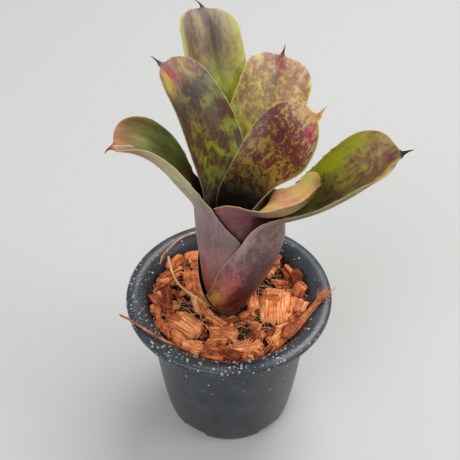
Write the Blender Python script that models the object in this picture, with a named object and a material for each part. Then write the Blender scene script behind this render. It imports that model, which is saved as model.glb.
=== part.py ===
"""Potted bromeliad: a seven-leaf tank rosette in a flanged nursery pot of coconut-husk chips.

Metres, +Z up. The origin is the middle of the pot's underside, which stands on z = 0, and
-Y is the front. Every piece is one closed solid; neighbours keep GAP between their faces.
"""
import math

import bmesh
import bpy
import numpy as np
from mathutils import Euler, Vector

MM = 0.001
GAP = 0.3 * MM

# --- pot -------------------------------------------------------------------------------
RIM_DIAMETER = 90.0 * MM
BODY_TOP_DIAMETER = 72.0 * MM
BASE_DIAMETER = 59.0 * MM
POT_HEIGHT = 73.0 * MM
WALL = 1.2 * MM
FLOOR = 1.6 * MM
FLANGE_RISE = 8.0 * MM
LIP_DROP = 3.0 * MM
POT_BULGE = 1.1 * MM
POT_SIDES = 40
DRAIN_COUNT = 5
DRAIN_FIRST_ANGLE = -123.0
DRAIN_WIDTH = 12.0 * MM
DRAIN_HEIGHT = 4.0 * MM
DRAIN_DEPTH = 3.0 * MM

# --- potting mix -----------------------------------------------------------------------
BED_DEPTH_BELOW_RIM = 14.0 * MM
BED_RISE = 4.5 * MM
BED_FLAT_RADIUS = 14.0 * MM
COLLAR_HEIGHT = 2.7 * MM
COLLAR_WIDTH = 1.0 * MM
CHIP_THICKNESS = 3.0 * MM
CHIP_BED_RADIUS = 34.3 * MM
FIBRE_DROP = 10.7 * MM
FIBRE_RIM_RADIUS = 45.0 * MM

# --- plant -----------------------------------------------------------------------------
PLANT_X = 2.5 * MM
PLANT_Y = 2.5 * MM
FOOT_SHIFT = -3.0 * MM
FOOT_SHIFT_HEIGHT = 35.0 * MM
SHEATH_BASE_RADIUS = 7.3 * MM
SHEATH_SWELL = 11.5 * MM
SHEATH_SWELL_HEIGHT = 18.0 * MM
LEAF_THICKNESS = 0.5 * MM
LEAF_SLACK = 0.3 / 7.3 * SHEATH_BASE_RADIUS
LEAF_PITCH = LEAF_THICKNESS + GAP + LEAF_SLACK
LEAF_RISE = 1.0 * MM
SHEATH_WRAP = 130.0
STEM_DEPTH = 8.0 * MM
SPINE_LENGTH = 5.0 * MM
SPINE_WIDTH = 1.3 * MM
LEAN_BLEND = 14.0 * MM
BLADE_BLEND = 16.0 * MM
MIDRIB_STEPS = 160
LEAF_STATIONS = 24
LEAF_COLUMNS = 11

# Leaves from the outermost to the innermost: heading in degrees round the plant from +X,
# length of the sheath and of the whole leaf, lean from upright at the blade's start, middle
# and end, widths of the sheath and of the blade, twist about the midrib, sideways sweep, the
# half angle of the channel across the blade at its start and at its end, how far before the
# sheath's end the width starts to narrow and over what length, and how far the keel stands
# out where the sheath ends.
LEAVES = (
    dict(name="leaf_back_left", heading=98, sheath=37.0, length=127.5, lean=(9, 31, 46),
         widths=(38.0, 28.0), twist=17, sweep=9, cup=(50, 12),
         neck=(16, 26), keel=0.0),
    dict(name="leaf_right", heading=-30, sheath=50.0, length=126.0, lean=(62, 38, 39),
         widths=(49.0, 28.5), twist=53, sweep=-16, cup=(70, 84),
         neck=(20, 36), keel=4.0),
    dict(name="leaf_left", heading=197, sheath=56.0, length=106.5, lean=(63, 28, 92),
         widths=(46.0, 25.0), twist=-11, sweep=-8, cup=(74, 85),
         neck=(8, 22), keel=0.0),
    dict(name="leaf_back_right", heading=71, sheath=46.5, length=111.5, lean=(4, 55, 39),
         widths=(37.0, 31.0), twist=29, sweep=-4, cup=(54, 25),
         neck=(8, 22), keel=0.0),
    dict(name="leaf_front", heading=-63, sheath=54.5, length=100.0, lean=(53, 58, 5),
         widths=(62.0, 27.5), twist=-14, sweep=60, cup=(90, 52),
         neck=(8, 22), keel=0.0),
    dict(name="leaf_centre_left", heading=121, sheath=43.5, length=108.5, lean=(13, 26, 39),
         widths=(37.0, 32.5), twist=7, sweep=33, cup=(90, 30),
         neck=(8, 22), keel=0.0),
    dict(name="leaf_centre_right", heading=24, sheath=54.5, length=95.0, lean=(14, 40, 19),
         widths=(44.0, 36.5), twist=19, sweep=-26, cup=(70, 26),
         neck=(8, 22), keel=0.0),
)

# Chips of coconut husk: place as an angle and a distance from the pot's axis, length, width,
# yaw of the length, and pitch along it and roll about it from the slope of the bed. Places
# and sizes are those in a bed of CHIP_BED_RADIUS.
CHIPS = (
    dict(name="chip_left_upright", at=(179, 28.8), size=(17.5, 6.5), yaw=92, pitch=0, roll=-30),
    dict(name="chip_left_streak", at=(149, 30.0), size=(12.0, 4.2), yaw=62, pitch=0, roll=-12),
    dict(name="chip_back_left", at=(139, 20.6), size=(19.0, 11.5), yaw=103, pitch=0, roll=0),
    dict(name="chip_back", at=(119, 30.0), size=(10.0, 6.0), yaw=29, pitch=0, roll=0),
    dict(name="chip_back_middle", at=(88, 28.5), size=(15.0, 8.0), yaw=-2, pitch=0, roll=0),
    dict(name="chip_back_right", at=(52, 28.2), size=(13.0, 9.5), yaw=-38, pitch=0, roll=0),
    dict(name="chip_right_large", at=(-3, 21.6), size=(23.0, 15.5), yaw=84, pitch=0, roll=0),
    dict(name="chip_right_edge", at=(18, 32.4), size=(15.0, 2.6), yaw=108, pitch=0, roll=0),
    dict(name="chip_front_right", at=(-40, 28.6), size=(15.0, 6.5), yaw=46, pitch=0, roll=0),
    dict(name="chip_front", at=(-76, 27.0), size=(18.0, 9.5), yaw=12, pitch=0, roll=0),
    dict(name="chip_front_middle", at=(-98, 14.4), size=(13.5, 6.5), yaw=-4, pitch=0, roll=0),
    dict(name="chip_front_slant", at=(-104, 21.6), size=(11.0, 3.6), yaw=20, pitch=0, roll=0),
    dict(name="chip_front_left", at=(-146, 22.4), size=(18.0, 14.5), yaw=-38, pitch=0, roll=0),
    dict(name="chip_front_low", at=(-113, 29.0), size=(12.5, 5.5), yaw=-20, pitch=0, roll=0),
    dict(name="chip_stub_left", at=(176, 14.2), size=(9.0, 3.6), yaw=112, pitch=-12, roll=40),
)

# Loose fibres: the points of the middle line in a bed of CHIP_BED_RADIUS and a rim of
# FIBRE_RIM_RADIUS, as (x, y, height above the rim), and the radius in the middle and at the
# ends. Heights below the rim are those where the chips' tops lie FIBRE_DROP under it.
FIBRES = (
    dict(name="fibre_bundle_right", radii=(1.5, 0.9),
         path=((24.5, -22.5, -4.4), (29.0, -18.5, -3.0), (33.5, -13.0, -1.4), (37.8, -8.5, 0.9),
               (43.0, -2.7, 2.6))),
    dict(name="fibre_strip_left", radii=(0.8, 0.35),
         path=((-46.2, -15.6, 1.5), (-42.0, -18.3, 1.5), (-37.9, -21.1, 1.4),
               (-30.9, -26.4, 1.3), (-23.8, -29.6, -0.4), (-16.1, -30.3, -4.6))),
    dict(name="fibre_strip_pale", radii=(0.75, 0.4),
         path=((-28.3, 23.0, -2.4), (-26.7, 16.7, -4.4), (-23.7, 9.7, -5.6), (-18.9, 4.6, -6.3),
               (-13.6, 0.4, -7.0), (-8.9, -3.6, -8.0))),
    dict(name="fibre_arch_back", radii=(0.5, 0.3),
         path=((-31.7, 18.4, -2.4), (-30.1, 23.0, -0.5), (-27.0, 27.1, 0.3), (-22.6, 32.6, 0.9),
               (-18.5, 35.5, 0.8), (-14.7, 36.9, 0.5), (-8.0, 38.4, 0.4))),
)


def material(name, rgb, roughness, metallic=0.0):
    """A Principled material of one colour."""
    mat = bpy.data.materials.new(name)
    mat.use_nodes = True
    bsdf = mat.node_tree.nodes["Principled BSDF"]
    bsdf.inputs["Base Color"].default_value = (*rgb, 1.0)
    bsdf.inputs["Roughness"].default_value = roughness
    bsdf.inputs["Metallic"].default_value = metallic
    mat.diffuse_color = (*rgb, 1.0)
    return mat


def piece(name, verts, faces, mat, smooth=35.0):
    """A mesh object from points and faces, its faces turned outward."""
    mesh = bpy.data.meshes.new(name)
    mesh.from_pydata([tuple(map(float, v)) for v in verts], [], faces)
    bm = bmesh.new()
    bm.from_mesh(mesh)
    bmesh.ops.recalc_face_normals(bm, faces=bm.faces)
    bm.to_mesh(mesh)
    bm.free()
    if smooth:
        mesh.shade_smooth()
        mesh.set_sharp_from_angle(angle=math.radians(smooth))
    mesh.materials.append(mat)
    obj = bpy.data.objects.new(name, mesh)
    bpy.context.scene.collection.objects.link(obj)
    return obj


def ease(t):
    """Smooth step from 0 to 1."""
    t = min(max(t, 0.0), 1.0)
    return t * t * (3.0 - 2.0 * t)


def loft(rings, first=None, last=None, closed=True):
    """Points and quads through rings of equal count, with a fan to a pole at either end."""
    count = len(rings[0])
    verts = [p for ring in rings for p in ring]
    faces = []
    for i in range(len(rings) - 1):
        for j in range(count if closed else count - 1):
            k = (j + 1) % count
            a = i * count
            faces.append((a + j, a + k, a + count + k, a + count + j))
    for pole, row in ((first, 0), (last, len(rings) - 1)):
        if pole is None:
            continue
        verts.append(pole)
        tip = len(verts) - 1
        for j in range(count):
            faces.append((row * count + j, row * count + (j + 1) % count, tip))
    return verts, faces


# --- pot -------------------------------------------------------------------------------
RIM_R = RIM_DIAMETER / 2
BODY_R = BODY_TOP_DIAMETER / 2
BASE_R = BASE_DIAMETER / 2
SHOULDER_Z = POT_HEIGHT - FLANGE_RISE


def body_radius(z):
    """Outer radius of the pot's wall below the flange: a taper that bulges a little."""
    t = z / SHOULDER_Z
    return BASE_R + (BODY_R - BASE_R) * t + POT_BULGE * math.sin(math.pi * min(t, 1.0) ** 0.6)


def flange_curve(steps, start, end, power):
    """Trumpet curve from the wall out to the rim: (radius, height) pairs."""
    (r0, z0), (r1, z1) = start, end
    curve = []
    for i in range(steps + 1):
        t = i / steps
        curve.append((r0 + (r1 - r0) * (1 - math.cos(t * math.pi / 2)) ** power,
                      z0 + (z1 - z0) * math.sin(t * math.pi / 2)))
    return curve


def pot_profile():
    """Closed outline in (radius, height), from the middle of the underside round to the floor."""
    levels = [SHOULDER_Z * f for f in (0.06, 0.2, 0.4, 0.6, 0.8)]
    outside = [(BASE_R - 1.0 * MM, 0.0), (BASE_R, 0.8 * MM)]
    outside += [(body_radius(z), z) for z in levels]
    outer_end = (RIM_R - WALL * 0.7, POT_HEIGHT - WALL - 0.5 * MM)
    outside += flange_curve(4, (body_radius(SHOULDER_Z), SHOULDER_Z), outer_end, 0.85)
    lip = [(RIM_R - 0.5 * MM, POT_HEIGHT - LIP_DROP), (RIM_R, POT_HEIGHT - LIP_DROP + 0.5 * MM),
           (RIM_R, POT_HEIGHT - 1.0 * MM), (RIM_R - 0.6 * MM, POT_HEIGHT - 0.35 * MM)]
    inside = flange_curve(5, (body_radius(SHOULDER_Z) - WALL, SHOULDER_Z),
                          (RIM_R - 2.4 * MM, POT_HEIGHT), 0.85)[::-1]
    inside += [(body_radius(z) - WALL, z) for z in levels[::-1]]
    inside += [(BASE_R - WALL - 0.6 * MM, FLOOR)]
    return outside, lip, inside


def inner_wall():
    """The points of the inner wall from the floor to the shoulder, which the bed follows."""
    inside = [p for p in pot_profile()[2] if p[1] <= SHOULDER_Z + 1e-9]
    return inside[::-1]


def turn(radius, z, sides=POT_SIDES, cx=0.0, cy=0.0):
    """A ring of points round a vertical axis."""
    step = 2 * math.pi / sides
    return [(cx + radius * math.cos(i * step), cy + radius * math.sin(i * step), z)
            for i in range(sides)]


def build_pot():
    outside, lip, inside = pot_profile()
    rings = [turn(r, z) for r, z in outside + lip + inside]
    verts, faces = loft(rings, first=(0, 0, 0), last=(0, 0, FLOOR))
    plastic = material("pot_plastic", (0.058, 0.066, 0.075), 0.42)
    pot = piece("pot", verts, faces, plastic)
    for i in range(DRAIN_COUNT):
        bpy.ops.mesh.primitive_cube_add(size=1.0)
        cutter = bpy.context.object
        cutter.name = f"drain_cutter_{i + 1}"
        angle = math.radians(DRAIN_FIRST_ANGLE + i * 360.0 / DRAIN_COUNT)
        reach = 2 * DRAIN_DEPTH + 2 * WALL
        cutter.scale = (reach, DRAIN_WIDTH, 2 * DRAIN_HEIGHT)
        cutter.rotation_euler = (0, 0, angle)
        cutter.location = (BASE_R * math.cos(angle), BASE_R * math.sin(angle), 0)
        cutter.hide_render = True
        cutter.display_type = "WIRE"
        cut = pot.modifiers.new(f"drain_{i + 1}", "BOOLEAN")
        cut.operation = "DIFFERENCE"
        cut.object = cutter
    return pot


# --- plant -----------------------------------------------------------------------------
BED_Z = POT_HEIGHT - BED_DEPTH_BELOW_RIM
PLANT_Z = BED_Z + COLLAR_HEIGHT + GAP + LEAF_THICKNESS / 2
FACET = math.cos(math.radians(SHEATH_WRAP) / (LEAF_COLUMNS - 1))


def sheath_radius(height):
    """Radius of the outermost sheath's middle face at a height above the plant's base."""
    grown = 1.0 - math.exp(-max(height, 0.0) / SHEATH_SWELL_HEIGHT)
    return SHEATH_BASE_RADIUS + SHEATH_SWELL * grown


def sheath_lean(height):
    """Lean of the sheath's wall from upright, in radians."""
    rate = SHEATH_SWELL / SHEATH_SWELL_HEIGHT
    return math.atan(rate * math.exp(-max(height, 0.0) / SHEATH_SWELL_HEIGHT))


def sheath_shift(height):
    """How far the sheaths' middle stands in X from the rosette's axis at a height."""
    return FOOT_SHIFT * (1 - ease(height / FOOT_SHIFT_HEIGHT))


def leaf_axis(order, leaf):
    """Midrib of a leaf in fine steps: distance, blade share, place and directions."""
    sheath, length = leaf["sheath"] * MM, leaf["length"] * MM
    heading = math.radians(leaf["heading"])
    height = order * LEAF_RISE
    radius = sheath_radius(height) - order * LEAF_PITCH
    place = Vector((radius * math.cos(heading), radius * math.sin(heading), height))
    step = length / MIDRIB_STEPS
    start, middle, end = leaf["lean"]
    rows = []
    for i in range(MIDRIB_STEPS + 1):
        s = i * step
        t = min(max((s - sheath) / (length - sheath), 0.0), 1.0)
        blade = (1 - t) * (1 - 2 * t) * start + 4 * t * (1 - t) * middle + t * (2 * t - 1) * end
        mix = ease((s - sheath) / LEAN_BLEND)
        lean = (1 - mix) * sheath_lean(place.z) + mix * math.radians(blade)
        turned = heading + math.radians(leaf["sweep"]) * ease(t)
        flat = Vector((math.cos(turned), math.sin(turned), 0.0))
        up = Vector((0.0, 0.0, 1.0))
        along = math.sin(lean) * flat + math.cos(lean) * up
        inward = math.sin(lean) * up - math.cos(lean) * flat
        side = Vector((-math.sin(turned), math.cos(turned), 0.0))
        twist = math.radians(leaf["twist"]) * ease(1.2 * t)
        across = math.cos(twist) * side + math.sin(twist) * inward
        facing = math.cos(twist) * inward - math.sin(twist) * side
        rows.append((s, t, place.copy(), along, across, facing))
        place = place + along * step
    return rows


def leaf_width(leaf, s, t):
    """Width of the leaf at a distance s along it: sheath, neck, blade and rounded end."""
    sheath, length = leaf["sheath"] * MM, leaf["length"] * MM
    wrap, widest = (w * MM for w in leaf["widths"])
    blade = widest * (0.8 + 0.2 * ease(t / 0.6))
    before, over = (v * MM for v in leaf["neck"])
    mix = ease((s - sheath + before) / over)
    width = (1 - mix) * wrap + mix * blade
    shoulder = length - 0.5 * widest
    q = min(max((s - shoulder) / (length - shoulder), 0.0), 1.0)
    return max(width * (1 - q ** 2.4) ** (1 / 2.4), SPINE_WIDTH)


def build_leaf(order, leaf, mat):
    """One leaf: rows that wrap the rosette as a sheath and turn into a channelled blade."""
    midrib = leaf_axis(order, leaf)
    heading = math.radians(leaf["heading"])
    widest = leaf["widths"][1] * MM
    shares = np.linspace(-1.0, 1.0, LEAF_COLUMNS)
    grid = []
    for i in range(LEAF_STATIONS + 1):
        share = i / LEAF_STATIONS
        share -= 0.05 * math.sin(2 * math.pi * share)
        s, t, place, along, across, facing = midrib[round(share * MIDRIB_STEPS)]
        width = leaf_width(leaf, s, t)
        radius = math.hypot(place.x, place.y)
        cup = math.radians(leaf["cup"][0] + (leaf["cup"][1] - leaf["cup"][0]) * ease(t / 0.7))
        bend = max(width / 2, widest / 2) / cup
        mix = ease((s - leaf["sheath"] * MM) / BLADE_BLEND)
        wrap = min(width / 2 / radius, math.radians(SHEATH_WRAP))
        keel = leaf["keel"] * MM * ease((s / (leaf["sheath"] * MM) - 0.3) / 0.7)
        row = []
        for u in shares:
            angle = heading + u * wrap
            reach = radius + keel * (1 - u * u) ** 2
            tube = Vector((sheath_shift(place.z) + reach * math.cos(angle),
                           reach * math.sin(angle), place.z))
            fold = u * width / 2 / bend
            blade = place + bend * math.sin(fold) * across + bend * (1 - math.cos(fold)) * facing
            row.append(tube.lerp(blade, mix))
        grid.append(row)
    return leaf_solid(leaf["name"], grid, place + along * SPINE_LENGTH, mat)


def leaf_solid(name, grid, spine, mat):
    """Thicken a grid of points to both sides and close it round its edge."""
    points = np.array([[tuple(p) for p in row] for row in grid])
    down = np.gradient(points, axis=0)
    over = np.gradient(points, axis=1)
    normal = np.cross(over, down)
    normal /= np.linalg.norm(normal, axis=2, keepdims=True)
    half = LEAF_THICKNESS / 2
    rings = []
    for i in range(points.shape[0]):
        inner = points[i] + normal[i] * half
        outer = points[i] - normal[i] * half
        rings.append([tuple(p) for p in np.concatenate([inner, outer[::-1]])])
    offset = Vector((PLANT_X, PLANT_Y, PLANT_Z))
    rings = [[tuple(Vector(p) + offset) for p in ring] for ring in rings]
    count = len(rings[0])
    verts, faces = loft(rings, last=tuple(spine + offset))
    half_count = count // 2
    for j in range(half_count - 1):
        faces.append((j, j + 1, count - 2 - j, count - 1 - j))
    return piece(name, verts, faces, mat, smooth=50.0)


def stem_radius(order):
    """Radius of the stem where a leaf of this order starts, clear of its inner face."""
    leaf_radius = sheath_radius(order * LEAF_RISE) - order * LEAF_PITCH
    return (leaf_radius - LEAF_THICKNESS / 2) * FACET - GAP


def build_stem():
    sides = 20
    base = stem_radius(0)
    levels = [(base * 0.8, -STEM_DEPTH), (base, -STEM_DEPTH + 1.5 * MM), (base, -GAP)]
    levels += [(stem_radius(i + 1), i * LEAF_RISE) for i in range(len(LEAVES))]
    levels += [(stem_radius(len(LEAVES)) * 0.5, len(LEAVES) * LEAF_RISE + 1.0 * MM)]
    rings = [turn(r, PLANT_Z + z, sides, PLANT_X + sheath_shift(z), PLANT_Y) for r, z in levels]
    height = len(LEAVES) * LEAF_RISE + 1.3 * MM
    bottom = (PLANT_X + FOOT_SHIFT, PLANT_Y, PLANT_Z - STEM_DEPTH)
    top = (PLANT_X + sheath_shift(height), PLANT_Y, PLANT_Z + height)
    verts, faces = loft(rings, first=bottom, last=top)
    flesh = material("stem_flesh", (0.24, 0.22, 0.09), 0.6)
    return piece("stem", verts, faces, flesh)


# --- potting mix -----------------------------------------------------------------------
BED_EDGE_Z = BED_Z + BED_RISE


def bed_wall():
    """The bed's outer side, GAP inside the pot's wall, from above the drains to its edge."""
    points = [(r - GAP, z) for r, z in inner_wall() if z > DRAIN_HEIGHT + GAP]
    below = [p for p in points if p[1] < BED_EDGE_Z]
    (r0, z0), (r1, z1) = below[-1], points[len(below)]
    return below + [(r0 + (r1 - r0) * (BED_EDGE_Z - z0) / (z1 - z0), BED_EDGE_Z)]


BED_EDGE_R = bed_wall()[-1][0]
BED_FIT = BED_EDGE_R / CHIP_BED_RADIUS


def bed_height(radius):
    """Height of the bed's top at a distance from the pot's axis: level, then up to the wall."""
    share = (radius - BED_FLAT_RADIUS) / (BED_EDGE_R - BED_FLAT_RADIUS)
    return BED_Z + BED_RISE * min(max(share, 0.0), 1.0)


def build_bed():
    """The packed husk that fills the pot, with a collar and a socket round the stem."""
    foot_x = PLANT_X + FOOT_SHIFT

    def round_plant(radius, z):
        return turn(radius, z, POT_SIDES, foot_x, PLANT_Y)

    socket = stem_radius(0) + GAP
    floor_z = PLANT_Z - STEM_DEPTH - GAP
    rest_z = BED_Z + COLLAR_HEIGHT
    collar_top = SHEATH_BASE_RADIUS + LEAF_THICKNESS / 2 + COLLAR_WIDTH / 2
    rings = [round_plant(socket, floor_z), round_plant(socket, rest_z),
             round_plant(collar_top, rest_z),
             round_plant(collar_top + COLLAR_WIDTH, BED_Z), turn(BED_FLAT_RADIUS, BED_Z)]
    rings += [turn(r, z) for r, z in bed_wall()[::-1]]
    foot = BASE_R - DRAIN_DEPTH - WALL - 2 * GAP
    rings += [turn(foot, DRAIN_HEIGHT + GAP), turn(foot, FLOOR + GAP)]
    verts, faces = loft(rings, first=(foot_x, PLANT_Y, floor_z), last=(0, 0, FLOOR + GAP))
    coir = material("dark_coir", (0.07, 0.028, 0.014), 0.95)
    return piece("coir_bed", verts, faces, coir)


def build_chip(index, chip, mat):
    """A slab of husk with a ragged outline, laid along the bed so that it rests on it."""
    rng = np.random.default_rng(40 + index)
    length, width = (v * MM * BED_FIT for v in chip["size"])
    corners = 12
    outline = []
    for k in range(corners):
        a = 2 * math.pi * (k + 0.5) / corners
        jitter = 1.0 - 0.12 * rng.random()
        x = math.copysign(abs(math.cos(a)) ** 0.55, math.cos(a)) * length / 2 * jitter
        y = math.copysign(abs(math.sin(a)) ** 0.55, math.sin(a)) * width / 2 * jitter
        outline.append((x, y))
    layers = ((0.88, -0.5), (1.0, -0.25), (0.98, 0.25), (0.86, 0.5))
    rings = [[(x * k, y * k, z * CHIP_THICKNESS) for x, y in outline] for k, z in layers]
    verts, faces = loft(rings, first=(0, 0, -0.5 * CHIP_THICKNESS), last=(0, 0, 0.5 * CHIP_THICKNESS))
    angle, reach = math.radians(chip["at"][0]), chip["at"][1] * MM * BED_FIT
    slope = math.atan2(BED_RISE, BED_EDGE_R - BED_FLAT_RADIUS) if reach > BED_FLAT_RADIUS else 0.0
    roll, pitch, yaw = (math.radians(chip[k]) for k in ("roll", "pitch", "yaw"))
    turned = Euler((roll + slope * math.sin(angle - yaw), pitch - slope * math.cos(angle - yaw), yaw), "XYZ")
    place = Vector((reach * math.cos(angle), reach * math.sin(angle), 0.0))
    corners = [turned.to_matrix() @ Vector(v) + place for v in verts]
    place.z = GAP + max(bed_height(math.hypot(c.x, c.y)) - c.z for c in corners)
    obj = piece(chip["name"], verts, faces, mat, smooth=30.0)
    obj.rotation_euler = turned
    obj.location = place
    return obj


def smooth_path(points, count):
    """Points of a Catmull-Rom curve through the given ones, evenly shared between them."""
    held = [points[0]] + list(points) + [points[-1]]
    found = []
    for i in range(count + 1):
        x = i / count * (len(points) - 1)
        k = min(int(x), len(points) - 2)
        t = x - k
        p0, p1, p2, p3 = (Vector(p) for p in held[k:k + 4])
        found.append(0.5 * (2 * p1 + (p2 - p0) * t + (2 * p0 - 5 * p1 + 4 * p2 - p3) * t ** 2
                            + (3 * p1 - p0 - 3 * p2 + p3) * t ** 3))
    return found


def fibre_point(x, y, z):
    """A point of a fibre, moved with the bed inside the bed's edge and with the rim outside it."""
    angle, reach = math.atan2(y, x), math.hypot(x, y) * MM
    beyond = (RIM_R - BED_EDGE_R) / (FIBRE_RIM_RADIUS - CHIP_BED_RADIUS)
    reach = min(reach, CHIP_BED_RADIUS) * BED_FIT + max(reach - CHIP_BED_RADIUS, 0.0) * beyond
    drop = POT_HEIGHT - BED_Z - GAP - CHIP_THICKNESS
    height = POT_HEIGHT + z * MM * (drop / FIBRE_DROP if z < 0 else 1.0)
    return Vector((reach * math.cos(angle), reach * math.sin(angle), height))


def build_fibre(fibre, mat):
    """A strand of husk along a smooth path, thinner towards both ends."""
    sides, count = 6, 14
    path = smooth_path([fibre_point(*point) for point in fibre["path"]], count)
    thick, thin = (r * MM for r in fibre["radii"])
    rings = []
    for i, centre in enumerate(path):
        along = (path[min(i + 1, count)] - path[max(i - 1, 0)]).normalized()
        side = along.cross(Vector((0, 0, 1))).normalized()
        up = side.cross(along)
        radius = thin + (thick - thin) * math.sin(math.pi * i / count)
        ring = []
        for j in range(sides):
            a = 2 * math.pi * j / sides
            ring.append(tuple(centre + radius * (math.cos(a) * side + math.sin(a) * up)))
        rings.append(ring)
    verts, faces = loft(rings, first=tuple(path[0]), last=tuple(path[-1]))
    return piece(fibre["name"], verts, faces, mat)


def main():
    for obj in list(bpy.data.objects):
        bpy.data.objects.remove(obj, do_unlink=True)
    build_pot()
    build_bed()
    build_stem()
    leaf_green = material("leaf_mottled", (0.13, 0.12, 0.03), 0.38)
    for order, leaf in enumerate(LEAVES):
        build_leaf(order, leaf, leaf_green)
    husk = material("coconut_husk", (0.48, 0.17, 0.05), 0.9)
    for index, chip in enumerate(CHIPS):
        build_chip(index, chip, husk)
    straw = material("loose_fibre", (0.55, 0.33, 0.14), 0.85)
    for fibre in FIBRES:
        build_fibre(fibre, straw)


main()
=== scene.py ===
import math

import bmesh
import bpy
import numpy as np
from mathutils import Euler, Matrix, Vector


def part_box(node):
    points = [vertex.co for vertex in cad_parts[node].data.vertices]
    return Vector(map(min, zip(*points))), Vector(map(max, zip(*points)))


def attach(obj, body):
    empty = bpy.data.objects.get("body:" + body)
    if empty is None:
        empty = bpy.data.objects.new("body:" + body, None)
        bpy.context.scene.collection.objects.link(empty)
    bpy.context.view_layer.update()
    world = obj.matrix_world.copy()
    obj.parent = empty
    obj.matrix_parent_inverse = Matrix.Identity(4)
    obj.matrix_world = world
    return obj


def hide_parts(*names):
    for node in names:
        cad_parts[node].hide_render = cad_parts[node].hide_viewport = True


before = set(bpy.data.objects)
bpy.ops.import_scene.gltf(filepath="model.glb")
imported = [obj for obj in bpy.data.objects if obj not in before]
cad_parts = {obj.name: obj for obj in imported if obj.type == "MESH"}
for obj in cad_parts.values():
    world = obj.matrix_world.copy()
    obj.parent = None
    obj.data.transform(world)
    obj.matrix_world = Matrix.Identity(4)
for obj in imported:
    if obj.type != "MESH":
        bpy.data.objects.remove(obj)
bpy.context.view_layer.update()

bl_info = {
    "name": "Potted bromeliad",
    "version": (1, 0, 0),
    "blender": (4, 5, 0),
    "location": "View3D > Sidebar > Bromeliad",
    "description": "A seven-leaf tank bromeliad in a flanged nursery pot of coconut-husk chips",
    "category": "Object",
}

MM = 0.001

# --- the plant's own rule, in millimetres and degrees ----------------------------------------
PLANT = np.array([2.5, 2.5, 62.25])
BASE_RADIUS, SWELL, SWELL_HEIGHT = 7.3, 11.5, 18.0
PITCH, RISE, WRAP = 1.1, 1.0, math.radians(130)
MIDRIB_STEPS = 160
FOOT_SHIFT = -3.0

# Leaves from the outermost to the innermost. Shape: heading round the plant from +X, length of
# sheath and of leaf, lean at the blade's start, middle and end, widths of sheath and blade,
# twist, sweep, and half angle of the channel at the blade's start and end. square is how blunt
# the end is, pinch how deep the fold behind the spine, hook the spine's turn as degrees
# sideways and backwards, neck where the sheath starts to narrow before its end and over what
# length, keel how far its back stands out, spine the spine's colour.
LEAVES = (
    dict(name="leaf_back_left", heading=98, sheath=37.0, length=127.5, lean=(9, 31, 46),
         widths=(38.0, 28.0), twist=17, sweep=9, cup=(50, 12), square=3.0, pinch=1.2, hook=(60, 20),
         neck=(16, 26), keel=0.0, spine="#2c1a18"),
    dict(name="leaf_right", heading=-30, sheath=50.0, length=126.0, lean=(62, 38, 39),
         widths=(49.0, 28.5), twist=53, sweep=-16, cup=(70, 84), square=2.4, pinch=1.8, hook=(0, 30),
         neck=(20, 36), keel=4.0, spine="#231416"),
    dict(name="leaf_left", heading=197, sheath=56.0, length=106.5, lean=(63, 28, 92),
         widths=(46.0, 25.0), twist=-11, sweep=-8, cup=(74, 85), square=2.4, pinch=1.2, hook=(0, 78),
         neck=(8, 22), keel=0.0, spine="#8a4a2a"),
    dict(name="leaf_back_right", heading=71, sheath=46.5, length=111.5, lean=(4, 55, 39),
         widths=(37.0, 31.0), twist=29, sweep=-4, cup=(54, 25), square=3.0, pinch=1.2, hook=(0, -25),
         neck=(8, 22), keel=0.0, spine="#7a3a26"),
    dict(name="leaf_front", heading=-63, sheath=54.5, length=100.0, lean=(53, 58, 5),
         widths=(62.0, 27.5), twist=-14, sweep=60, cup=(90, 52), square=2.4, pinch=0.8, hook=(0, 10),
         neck=(8, 22), keel=0.0, spine="#5a2c20"),
    dict(name="leaf_centre_left", heading=121, sheath=43.5, length=108.5, lean=(13, 26, 39),
         widths=(37.0, 32.5), twist=7, sweep=33, cup=(90, 30), square=2.4, pinch=2.0, hook=(0, 35),
         neck=(8, 22), keel=0.0, spine="#3a1c1e"),
    dict(name="leaf_centre_right", heading=24, sheath=54.5, length=95.0, lean=(14, 40, 19),
         widths=(44.0, 36.5), twist=19, sweep=-26, cup=(70, 26), square=2.4, pinch=2.2, hook=(0, 30),
         neck=(8, 22), keel=0.0, spine="#c8963c"),
)

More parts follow.
